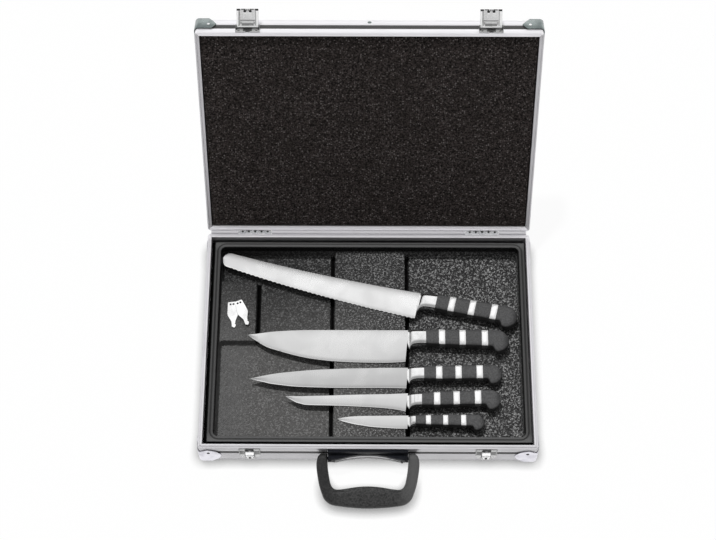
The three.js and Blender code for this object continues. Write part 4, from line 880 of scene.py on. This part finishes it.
def add_rivets(name, body, spots, radius, rise, material, place=Matrix.Identity(4)):
    """Rivet heads at spots of (point, facing) in mm."""
    mesh = bpy.data.meshes.new(name)
    mesh.from_pydata([(place @ Vector(point)) * MM for point, _ in spots], [], [])
    facing = mesh.attributes.new("facing", "FLOAT_VECTOR", "POINT")
    for i, (_, way) in enumerate(spots):
        facing.data[i].vector = place.to_3x3() @ Vector(way)
    piece = loose(mesh)
    heads = piece.modifiers.new("rivets", "NODES")
    heads.node_group = RIVETS
    names = {item.name: item.identifier for item in RIVETS.interface.items_tree}
    heads[names["Radius"]] = radius * MM
    heads[names["Rise"]] = rise * MM
    add_piece(name, evaluated_mesh(piece), body, material)


def cap_mesh(leaf, band_top):
    """A pressed cap for the corner at +X, +Y of a half whose panel faces down: a leaf on each wall and
    one on the panel."""
    far_x, far_y = HALF_WIDTH + CAP_OUT, HALF_DEPTH + CAP_OUT
    edge = [(along * CAP_LENGTH, up * band_top if up else -CAP_OUT - 0.5) for along, up in leaf]
    outline = [(edge[-1][0], edge[0][1])] + edge
    upright = Matrix.Rotation(math.radians(90), 4, "X")
    back = prism([(far_x - a, b) for a, b in outline], -far_y - 0.5, 6 - far_y, upright)
    side = prism([(far_y - a, b) for a, b in outline], far_x - 6, far_x + 0.5, ENDWAYS)
    reach, bulge = 0.6 * CAP_LENGTH, 1.1 * CAP_LENGTH
    foot = [(-1, -1), (reach, -1)]
    foot += [(reach * (1 - t) ** 2 + bulge * t * (1 - t) - t * t,
              -(1 - t) ** 2 + bulge * t * (1 - t) + reach * t * t) for t in (0.2, 0.4, 0.6, 0.8)]
    foot.append((-1, reach))
    foot = prism([(far_x - a, far_y - b) for a, b in foot], -CAP_OUT - 0.4, -CAP_GAP + 0.1)
    outer, inner = (mesh_of(*loft([rounded_loop(HALF_WIDTH + out, HALF_DEPTH + out, 4 + out, z)
                                   for z in (-out, times * band_top)]))
                    for out, times in ((CAP_OUT, 2), (CAP_GAP, 3)))
    return rounded_edges(combined(back, [("UNION", side), ("UNION", foot), ("INTERSECT", outer),
                                         ("DIFFERENCE", inner)]), 0.3)


def cap_spots(along, height, sides):
    """Rivet places on the four caps of one half, on the long walls or on the side walls."""
    out = 1.25
    return [((sx * (HALF_WIDTH + out), sy * (HALF_DEPTH - along), height), (sx, 0, 0)) if sides
            else ((sx * (HALF_WIDTH - along), sy * (HALF_DEPTH + out), height), (0, sy, 0))
            for sx in (-1, 1) for sy in (-1, 1)]


def add_caps():
    over = LID @ Matrix.Translation((0, 0, LID_HEIGHT)) @ Matrix.Diagonal((1, 1, -1, 1))
    halves = (("base", cap_mesh(BASE_LEAF, BASE_BAND_TOP), Matrix.Identity(4)),
              ("lid", cap_mesh(LID_LEAF, LID_BAND_TOP), over))
    for end, sy in ENDS:
        for side, sx in SIDES:
            for half, shape, place in halves:
                mesh = shape.copy()
                turn = place @ Matrix.Diagonal((sx, sy, 1, 1))
                mesh.transform(in_metres(turn))
                if turn.determinant() < 0:
                    mesh.flip_normals()
                name = f"{half}_corner_{end}_{side}"
                add_piece(f"{name}_cap", mesh, half, CAP[half], [name])
    for where, sides, rise in (("cap", False, 0.8), ("cap_side", True, 0.05)):
        # The base caps' rivets are painted near black and the lid caps' near white: painted shade and painted
        # highlight on like rivets.
        add_rivets(f"base_{where}_rivets", "base", cap_spots(12.5, 25.5, sides), 2.0, rise, SHADE_BLACK)
        add_rivets(f"lid_{where}_rivets", "lid", cap_spots(16.0, LID_HEIGHT - 12.8, sides), 1.9, rise, RING,
                   LID)
    add_rivets("lid_stud", "lid", [((0.3, -HALF_DEPTH - 0.1, 26.0), (0, -1, 0))], 2.5, 0.9, CAP["lid"], LID)


def add_hinges():
    for side, sx in SIDES:
        for part in ("base", "lid"):
            name = f"hinge_{part}_{side}"
            add_piece(f"{name}_leaf", softened(name, 0.2), part, PLATED, [name])
        dress(f"hinge_pin_{side}", PLATED)

        def row(steps, y, z, way):
            return [((sx * HINGE_X + step, y, z), way) for step in steps]

        add_rivets(f"hinge_base_{side}_rivets", "base", row((-15, 15), HALF_DEPTH + 1.0, 30.2, (0, 1, 0)),
                   1.6, 0.7, PLATED)
        # Dark domes between the knuckles: painted shade in the hinge's gaps.
        add_rivets(f"hinge_base_{side}_gaps", "base",
                   row((-16.4, -8.3, 0.1, 8.5, 16.7), HINGE_Y, HINGE_Z + 2.0, (0, 0, 1)), 1.5, 0.35, SHADE_BLACK)
        add_rivets(f"hinge_lid_{side}_rivets", "lid", row((-15, 0, 15), HALF_DEPTH + 1.3, 10.5, (0, 1, 0)),
                   1.6, 0.7, PLATED, LID)


def add_back_lip():
    """The lip along the base's back edge. Its bead runs round the hinge axis and closes the gap to the
    lid beside the hinges."""
    root = HALF_DEPTH - 0.1
    bead = [(HINGE_Y + LIP_BEAD * math.cos(a), HINGE_Z + LIP_BEAD * math.sin(a))
            for a in (math.radians(194 - 12 * i) for i in range(29))]
    outline = [(root, 40.4)] + bead + [(root, bead[-1][1])]
    for name, low, high in LIP_SPANS:
        mesh = rounded_edges(prism(outline, low, high, ENDWAYS), 0.1)
        add_piece(f"base_back_lip_{name}", mesh, "base", FRAME["base"])


def map_stamping(mesh, place):
    """The part's own map: mm across, outwards and along, as the part lies before place is applied."""
    own = mesh.attributes.new("stamping", "FLOAT_VECTOR", "POINT")
    back = place.inverted()
    for i, vertex in enumerate(mesh.vertices):
        own.data[i].vector = back @ (vertex.co / MM)
    return mesh


def add_latches():
    for side, sx in SIDES:
        across = Matrix.Translation((sx * CLASP_X, 0, 0))
        clasp = (LID @ Matrix.Translation((sx * CLASP_X, *CLASP_PIN))
                 @ Matrix.Rotation(math.radians(CLASP_TURN), 4, "X"))
        for part, body, width, finish, place in (
                ("clasp_bracket", "lid", 0.2, CLASP_BRACKET, LID @ across),
                ("clasp", f"clasp_{side}", 0.3, CLASP, clasp), ("catch", "base", 0.3, CATCH, across),
                ("lock", f"lock_{side}", 0.2, LOCK, across)):
            mesh = map_stamping(softened(f"{part}_{side}", width), place)
            if part == "clasp":
                flat = Matrix.Diagonal((1, 1, CLASP_PRESSED, 1))
                mesh.transform(in_metres(place @ flat @ place.inverted()))
            add_piece(f"{part}_{side}_plate", mesh, body, finish, [f"{part}_{side}"])
        # Dark domes in the clasp's two eyes: painted shade in the holes.
        spots = [((dx, CLASP_FACE + 0.1, -18.8), (0, 1, 0)) for dx in (-3.3, 3.3)]
        add_rivets(f"clasp_{side}_eye_shade", f"clasp_{side}", spots, 1.75, 0.6, SHADE_BLACK, clasp)
        # The spring leaf carries a painted shade band and a painted highlight on its lower edge.
        spring = [(x, CLASP_FACE + y) for x, y in ((-7.2, 0.1), (7.2, 0.1), (7.2, 0.6), (-7.2, 0.6))]
        add_piece(f"clasp_{side}_spring", map_stamping(prism(spring, -7.2, -1.4, clasp), clasp),
                  f"clasp_{side}", SPRING)


# Handle

HANDLE_INNER = [(50.6, -6.3), (50.6, -2), (50.5, 4), (49.9, 12), (48.8, 20), (47.6, 26.5), (46.2, 32),
                (43.4, 36.4), (38.5, 38.3), (29, 37.4), (18, 35.6), (8, 34.5), (0, 34.2)]
HANDLE_OUTER = [(58.6, -6.3), (62.4, -3), (64.3, 4), (64.3, 12), (63.0, 22), (60.9, 33), (57.8, 43),
                (54.0, 51.2), (45.8, 57.4), (31.5, 59.9), (18, 61.2), (8, 61.8), (0, 61.9)]
HANDLE_AXIS, HANDLE_DROOP = (0, -157.2, 24), math.radians(16.5)
HANDLE_HALF, TRUNNION_HALF = 7.5, 6.9
GROOVE_INSET, GROOVE_WIDTH = 3.4, 0.8
# Half of the front edge of the bracket's arched ledge, and of the bright trim below it
BRACKET_LEDGE = [(46, -161.7), (37.4, -160), (29.9, -158.1), (22.4, -156.2), (12.4, -154.6), (0, -153.9)]
BRACKET_TRIM = [(43, -160.5), (35, -158.8), (26, -156.9), (15, -155.3), (0, -154.4)]
TRIM_RADIUS, TRIM_HEIGHT = 0.9, 20
BRACKET_FRONT, BRACKET_SHARE = -155, 0.75


def mirrored(line):
    """Half a line that ends on the middle, with its other half."""
    return [(x, y) for x, y in line] + [(-x, y) for x, y in reversed(line[:-1])]


def add_handle():
    """The carrying handle, a loop of soft-edged section with grooves along the grip, and its bracket."""
    place = Matrix.Translation(HANDLE_AXIS) @ Matrix.Rotation(HANDLE_DROOP, 4, "X")
    loops = []
    for a, b in zip(mirrored(smooth_line(HANDLE_INNER)), mirrored(smooth_line(HANDLE_OUTER))):
        a, across = Vector(a), Vector(b) - Vector(a)
        half = HANDLE_HALF
        if a.y < -0.5 and abs(a.x) > 45:
            half = min(half, math.sqrt(max(TRUNNION_HALF ** 2 - a.y ** 2, 4)))
        grooved = a.y + across.y / 2 > 40 and abs(a.x) < 42
        loop = []
        for i in range(36):
            angle = 2 * math.pi * i / 36
            c, s = math.cos(angle), math.sin(angle)
            u = 0.5 - 0.5 * math.copysign(abs(c) ** 0.55, c)
            z = math.copysign(abs(s) ** 0.5, s) * half
            if grooved and abs(z) > 2:
                groove = math.exp(-((u * across.length - GROOVE_INSET) / GROOVE_WIDTH) ** 2)
                z -= math.copysign(groove, z)
            point = a + across * u
            loop.append((point.x, -point.y, z))
        loops.append(loop)
    add_piece("handle_loop", mesh_of(*loft(loops), place=place, corner=50), "handle",
              HANDLE_BLACK, ["handle"])
    mesh = softened("handle_bracket", 0.6, 3)
    front = BRACKET_FRONT * MM
    for vertex in mesh.vertices:
        if vertex.co.y < front:
            vertex.co.y = front + BRACKET_SHARE * (vertex.co.y - front)
    add_piece("handle_bracket_moulding", mesh, "base", BRACKET_BLACK, ["handle_bracket"])
    ledge = mirrored(BRACKET_LEDGE) + [(-46, -153.3), (46, -153.3)]
    add_piece("handle_bracket_ledge", rounded_edges(prism(ledge, 25, 31), 0.4), "base",
              BRACKET_BLACK)
    loops = [[(x, y + TRIM_RADIUS * math.cos(a * math.pi / 5),
               TRIM_HEIGHT + TRIM_RADIUS * math.sin(a * math.pi / 5))
              for a in range(10)] for x, y in mirrored(BRACKET_TRIM)]
    add_piece("handle_bracket_trim", mesh_of(*loft(loops), corner=60), "base", RING)
    add_rivets("handle_bracket_stop", "base", [((42.9, -160.6, TRIM_HEIGHT), (0, 0, 1))], 1.2, 1.2, SHADE_BLACK)


# Knives: sizes in mm. The blade lies along -X from the heel at the origin, its edge towards -Y. growth is
# how much higher the last ring is than the first, as a share.
BIG = dict(height=21.7, growth=0.05, thickness=17.0, bolster=22.6, flare=9.0, rings=(43.4, 70.0, 98.7),
           ring_width=8.1, end=130.3, hook=6.9)
MID = dict(height=18.8, growth=0.02, thickness=14.8, bolster=20.35, flare=6.5, rings=(39.7, 64.5, 91.6),
           ring_width=8.1, end=120.7, hook=6.9)
LEAN = dict(height=18.5, growth=0.07, thickness=15.0, bolster=17.4, flare=5.0, rings=(36.7, 61.6, 88.7),
            ring_width=8.1, end=118.0, hook=6.9)
SMALL = dict(height=13.5, growth=0.14, thickness=12.5, bolster=8.8, flare=4.0, rings=(25.0, 46.7, 69.5),
             ring_width=6.4, end=96.0, hook=5.0)
# The outline's rows run from the point: distance from it, depth of the spine, depth of the edge
KNIVES = [
    dict(name="bread", heel=(68.76, 73.36), turn=-13.1, length=266.5, spine=2.5, tip_height=20.5,
         heel_depth=37.7, sag=3.5, belly=4.3, lean=0.0, axis_drop=10.24, axis_tilt=2.15, handle=BIG),
    dict(name="chef", heel=(51.9, 20.1), turn=0, length=208.0, spine=3.0, lean=4.0, axis_drop=10.5,
         axis_tilt=-1.3, handle=BIG, outline=[
             (0, 7.0, 7.0), (1.2, 6.8, 8.4), (3.3, 6.5, 10.0), (7, 6.0, 12.9), (11.3, 5.55, 15.6),
             (19, 4.3, 20.9), (27, 3.2, 25.0), (35, 2.2, 27.7), (50.3, 1.1, 32.5), (66, 0.35, 36.8),
             (82, 0, 40.1),
             (105, 0, 43.1), (128, 0, 44.7), (155, 0, 45.5), (182, 0, 45.5), (198, 0, 44.6), (208, 0, 44.0)]),
    dict(name="slicing", heel=(51.2, -32.5), turn=0, length=203.2, spine=2.4, lean=2.5, axis_drop=8.7,
         axis_tilt=1.04, handle=MID, outline=[
             (0, 15.9, 16.1), (2.4, 15.2, 16.5), (10, 13.2, 18.35), (18, 11.4, 20.1), (25.5, 9.8, 22.1),
             (33.3, 8.4, 23.3), (41, 7.3, 24.3), (56, 5.6, 26.0), (72, 4.05, 26.8), (87, 2.95, 27.3),
             (103, 2.25, 27.7), (125, 1.2, 27.85), (149, 0.75, 27.8), (172, 0.1, 27.7), (203.2, 0, 28.3)]),
    dict(name="boning", heel=(51.0, -67.7), turn=0, length=156.0, spine=2.2, lean=3.5, axis_drop=10.0,
         axis_tilt=2.15, handle=LEAN, outline=[
             (0, 4.35, 4.6), (1, 4.3, 5.6), (3.5, 4.3, 7.1), (8.7, 4.25, 10.1), (13.8, 4.25, 12.9),
             (18.9, 4.2, 14.3), (24, 4.1, 15.7), (34, 3.75, 16.3), (54, 3.35, 16.65), (75, 2.45, 17.3),
             (95, 1.85, 18.25), (115, 1.4, 19.35), (131, 1.1, 20.7), (141, 0.6, 22.1), (156, 0, 24.8)]),
    dict(name="paring", heel=(51.4, -97.9), turn=0, length=90.3, spine=1.8, lean=1.8, axis_drop=6.85,
         axis_tilt=-0.35, handle=SMALL, outline=[
             (0, 4.5, 4.7), (3, 3.9, 6.3), (6.6, 2.9, 7.8), (10.4, 2.35, 8.9), (14.2, 1.75, 9.9),
             (18, 1.35, 10.9), (25.6, 0.9, 12.5), (33, 0.65, 13.6), (41, 0.5, 15.0), (52, 0.4, 16.0),
             (64, 0.25, 16.8), (75, 0, 17.4), (90.3, 0, 17.6)]),
]
WAVE_LENGTH, WAVE_DEPTH = 6.1, 1.0
NECK_LENGTH, NECK_HEIGHT = 1.4, 0.87
# Power that makes the handle's section: 1 is round, and near 0 square
SQUARE = 0.42
# The bolster behind its face: distance, and shares of the grip's thickness and of the flare
BOLSTER_FACE = [(0.02, 0.66, 0.94), (0.2, 0.73, 1.0), (0.6, 0.78, 0.88), (1.3, 0.83, 0.64), (2.4, 0.88, 0.43),
                (3.9, 0.92, 0.27), (6.2, 0.955, 0.15)]
# The hook under the pommel: places along, as shares of the pommel's radius, and shares of the hook
HOOK = [(-0.6, 0), (-0.5, 0.02), (-0.43, 0.09), (-0.36, 0.27), (-0.3, 0.5), (-0.24, 0.74), (-0.17, 0.91),
        (-0.1, 0.99)]


def bread_rows(knife):
    """A round tip, then scallops along an edge that bows a little, under a spine that sags a little."""
    length, r = knife["length"], knife["tip_height"] / 2
    sag = knife["sag"] * 4 * r * (length - r) / length ** 2
    rows = [(r * (1 - c), sag + r - r * s, sag + r + r * s) for c, s in quarter(14)[1:]]
    count = int((length - r) / (WAVE_LENGTH / 10))
    for i in range(1, count + 1):
        s = r + (length - r) * i / count
        bow = 4 * s * (length - s) / length ** 2
        edge = knife["tip_height"] + (knife["heel_depth"] - knife["tip_height"]) * s / length
        scallop = WAVE_DEPTH * abs(math.sin(math.pi * s / WAVE_LENGTH)) * min(max((s - r) / 8, 0), 1)
        rows.append((s, knife["sag"] * bow, edge + knife["belly"] * bow * min((s - r) / 12, 1) - scallop))
    return rows


def knife_place(knife):
    return (Matrix.Translation((*knife["heel"], PLATEAU_RISE + RIM_GAP + knife["spine"] / 2))
            @ Matrix.Rotation(math.radians(knife["turn"]), 4, "Z"))


def blade_section(knife, s, drop, depth):
    """Half outline from spine to edge: rounded back, flat grind, shoulder and honed bevel."""
    top = -max(drop, 0)
    bottom = -max(depth, drop + 0.3)
    deep = top - bottom
    thick = knife["spine"] / 2 * (0.5 + 0.5 * s / knife["length"])
    honed = min(0.9, deep * 0.25)
    ground = min(5.0, deep * 0.5)
    return [(top, thick * 0.55), (top - 0.25, thick * 0.92), (top - 0.7, thick),
            (top - deep * 0.4, thick * 0.88), (bottom + ground, thick * 0.66),
            (bottom + honed, 0.28 * min(thick, 1)), (bottom, 0.06)]


def add_knife_part(knife, part, loops, finishes, cad=None, ring=False, corner=40):
    name = knife["name"]
    mesh = mesh_of(*loft(loops, ring), place=knife_place(knife), corner=corner)
    add_piece(f"{name}_{part}", mesh, f"{name}_knife", finishes, [f"{name}_knife_{cad}"] if cad else ())
    return mesh


def add_blade(knife):
    loops = []
    length = knife["length"]
    rows = smooth_line(knife["outline"], 5) if "outline" in knife else bread_rows(knife)
    for s, drop, depth in rows:
        half = blade_section(knife, s, drop, depth)
        leaning = knife["lean"] * max((s - length + 12) / 12, 0) ** 2
        top, bottom = half[0][0], half[-1][0]
        side = [(s - length - leaning * (top - y) / (top - bottom), y, z) for y, z in half]
        loops.append(side + [(x, y, -z) for x, y, z in reversed(side)])
    mesh = add_knife_part(knife, "blade", loops, [BLADES[knife["name"]], HONED], corner=28)
    back = knife_place(knife).inverted()
    flat = mesh.uv_layers.new(name="grind")
    for loop in mesh.loops:
        local = back @ (mesh.vertices[loop.vertex_index].co / MM)
        flat.data[loop.index].uv = (local.x * MM, local.y * MM)
    for face in mesh.polygons:
        local = back @ (face.center / MM)
        s = local.x + length
        near = min(rows, key=lambda row: abs(row[0] - s))
        if local.y < -near[2] + 0.95 and s > 2:
            face.material_index = 1


def section(x, top, bottom, thickness, square=SQUARE):
    """A section across the handle: flat faces that roll over at tight edges."""
    loop = []
    for i in range(40):
        a = 2 * math.pi * (i + 0.5) / 40
        c, s = math.cos(a), math.sin(a)
        y = (top + bottom) / 2 + math.copysign(abs(c) ** square, c) * (top - bottom) / 2
        loop.append((x, y, math.copysign(abs(s) ** square, s) * thickness / 2))
    return loop


def height_at(knife, x):
    h = knife["handle"]
    first, last = h["rings"][0], h["rings"][-1]
    share = (NECK_HEIGHT + (1 - NECK_HEIGHT) * max(x, 0) / first if x < first
             else 1 + h["growth"] * (x - first) / (last - first))
    return share * h["height"]


def edge_at(knife, x, way):
    """The handle's upper or lower edge at x."""
    axis = -knife["axis_drop"] + x * math.tan(math.radians(knife["axis_tilt"]))
    return axis + way * height_at(knife, x) / 2


def whole(knife, x, shrink=0.0, drop=0.0, share=1.0):
    """The handle's section at x, shrunk all round, dropped at the bottom, at a share of its thickness."""
    return section(x, edge_at(knife, x, 1) - shrink, edge_at(knife, x, -1) + shrink - drop,
                   share * knife["handle"]["thickness"] - 2 * shrink)


def add_bolster(knife):
    """The bolster stands square behind the blade's heel and runs down it in a thin edge."""
    h = knife["handle"]
    end, thin = h["bolster"], 0.16 * h["thickness"]
    top, bottom = edge_at(knife, 0, 1) - 0.6, edge_at(knife, 0, -1)
    keys = [(NECK_LENGTH + x, thick, flare) for x, thick, flare in BOLSTER_FACE]
    keys += [(NECK_LENGTH + 0.42 * end, 0.985, 0.07), (0.75 * end, 1.0, 0.01), (end - 0.25, 1.0, 0.0),
             (end, 0.985, -0.012)]
    loops = [section(-1.2, top, bottom, thin), section(NECK_LENGTH, top, bottom - 0.85 * h["flare"], thin)]
    loops += [whole(knife, p.x, 0, p.z * h["flare"], p.y) for p in smooth_line(keys, 4)]
    add_knife_part(knife, "bolster", loops, BOLSTER, "steel", corner=45)


def add_grip(knife):
    """The grip: a hairline joint at each end of each ring, and a hooked round pommel."""
    h = knife["handle"]
    loops = [whole(knife, h["bolster"] + 0.1, 0.25), whole(knife, h["bolster"] + 0.35)]
    for ring in h["rings"]:
        start, end = ring - h["ring_width"] / 2, ring + h["ring_width"] / 2
        loops += [whole(knife, start - 0.3)]
        loops += [whole(knife, start - 0.1, shrink) for shrink in (0.2, 1.4)]
        loops += [whole(knife, end + 0.1, shrink) for shrink in (1.4, 0.2)]
        loops += [whole(knife, end + 0.3)]
    radius = (height_at(knife, h["end"]) + h["hook"]) / 2
    middle = h["end"] - radius
    centre = edge_at(knife, middle, 1) - radius
    loops += [whole(knife, middle + along * radius, 0, share * h["hook"])
              for along, share in smooth_line(HOOK, 3)]
    for i in range(19):
        angle = math.radians(-2 + 91 * i / 18)
        along, half = math.sin(angle), radius * math.cos(angle)
        x = middle + along * radius
        top = edge_at(knife, x, 1) if along < 0 else centre + half
        thin = 1 - 0.62 * max(along - 0.35, 0) ** 2 / 0.65 ** 2
        loops.append(section(x, top, centre - half, thin * h["thickness"],
                             square=SQUARE + 0.1 * max(along, 0)))
    add_knife_part(knife, "grip", loops, GRIP, "grip")


def add_rings(knife):
    edge = knife["handle"]["ring_width"] / 2
    for i, middle in enumerate(knife["handle"]["rings"], 1):
        loops = [whole(knife, middle + along, shrink) for along, shrink in (
            (-edge, 1.3), (-edge, 0.12), (-edge + 0.15, 0.0), (0, -0.03), (edge - 0.15, 0.0), (edge, 0.12),
            (edge, 1.3))]
        add_knife_part(knife, f"ring_{i}", loops, RING, f"ring_{i}", ring=True)


def add_keys():
    for name, spot, turn, layer in KEYS:
        place = (Matrix.Translation((*spot, PLATEAU_RISE + RIM_GAP + layer * (KEY_SHEET + RIM_GAP)))
                 @ Matrix.Rotation(math.radians(turn), 4, "Z"))
        eyes = []
        for x in (-1.9, 1.9):
            rim = [(x + 1.25 * math.cos(a * math.pi / 8), 1.25 * math.sin(a * math.pi / 8) - 3.4)
                   for a in range(16)]
            eyes.append(("DIFFERENCE", prism(rim, -1, KEY_SHEET + 1, place)))
        blank = combined(prism(KEY_OUTLINE, 0, KEY_SHEET, place), eyes)
        add_piece(f"{name}_blank", rounded_edges(blank, 0.4, corner=15), name, KEY_STEEL,
                  [name])


# Stage

def add_floor(height, reach=12):
    mesh = bpy.data.meshes.new("floor")
    mesh.from_pydata([(-reach, -reach, height), (reach, -reach, height), (reach, reach, height),
                      (-reach, reach, height)], [], [(0, 1, 2, 3)])
    floor = loose(mesh, "floor")
    net = Material("floor paper", 0.0, 0.9, Base_Color=grey(0.93))
    paper = net.shader.outputs[0]
    paths = net.node("ShaderNodeLightPath")
    # Painted contact shadow: the floor that the camera sees glows white, dimmed by ambient occlusion near the
    # case.
    near = net.node("ShaderNodeAmbientOcclusion", {"Distance": 0.014}, samples=6)["AO"]
    glow, mirror = (net.node("ShaderNodeEmission", {"Color": grey(1.0), "Strength": strength})[0]
                    for strength in (net.ramp(near, 0.4, 1.0, 0.3, 1.0), 1.25))

    def either(share, a, b):
        return net.node("ShaderNodeMixShader", {0: share, 1: a, 2: b})[0]

    both = either(paths["Is Camera Ray"], either(paths["Is Glossy Ray"], paper, mirror),
                  either(0.95, paper, glow))
    net.put(net.tree.nodes["Material Output"].inputs["Surface"], both)
    mesh.materials.append(net.material)


def light_studio():
    """A soft box over the back of the case, a white room near the floor, and one lamp for the shadows."""
    world = bpy.data.worlds.new("studio")
    bpy.context.scene.world = world
    world.use_nodes = True
    net = Net(world.node_tree)
    background = net.tree.nodes["Background"].inputs
    way = net.node("ShaderNodeTexCoord")["Generated"]
    up = net.split(way)[2]
    paths = net.node("ShaderNodeLightPath")
    room = net.node("ShaderNodeValToRGB", {0: up})[0]
    elements = room.node.color_ramp.elements
    elements[0].position, elements[0].color = 0.0, grey(1.3)
    elements[1].position, elements[1].color = 1.0, grey(0.5)
    for position, value in ((0.1, 1.25), (0.25, 0.55), (0.5, 0.4)):
        elements.new(position).color = grey(value)
    towards = net.node("ShaderNodeVectorMath", {0: way, 1: (0.0, 0.588, 0.809)}, operation="DOT_PRODUCT")
    mirror = net.blend(1.0, room, net.ramp(towards["Value"], 0.80, 0.975, 0.0, 0.9), "ADD")
    light = net.blend(paths["Is Glossy Ray"], net.ramp(up, 0.0, 1.0, 0.0, 0.42), mirror)
    net.put(background["Color"], net.blend(paths["Is Camera Ray"], light, grey(1.0)))
    background["Strength"].default_value = 1.0
    lamp = bpy.data.lights.new("key light", "SUN")
    lamp.energy = 2.4
    lamp.angle = math.radians(3)
    key = bpy.data.objects.new("key light", lamp)
    key.rotation_euler = Vector((-0.18, 0.28, 1.0)).to_track_quat("Z", "Y").to_euler()
    key.visible_glossy = False
    bpy.context.collection.objects.link(key)


def add_camera():
    lens = bpy.data.cameras.new("camera")
    lens.lens = 85.0
    camera = bpy.data.objects.new("camera", lens)
    camera.location = (-0.0014, -0.8705, 2.0304)
    camera.rotation_euler = [math.radians(a) for a in (25.944, 0.207, 0.303)]
    bpy.context.collection.objects.link(camera)
    bpy.context.scene.camera = camera


add_camera()
add_frames()
add_tray()
add_gap_shade_strip()
add_foam()
add_caps()
add_hinges()
add_back_lip()
add_latches()
add_handle()
for knife in KNIVES:
    add_blade(knife)
    add_bolster(knife)
    add_grip(knife)
    add_rings(knife)
add_keys()
add_floor(cad_bounds[0][2])
light_studio()
bpy.context.scene.view_settings.view_transform = "Standard"
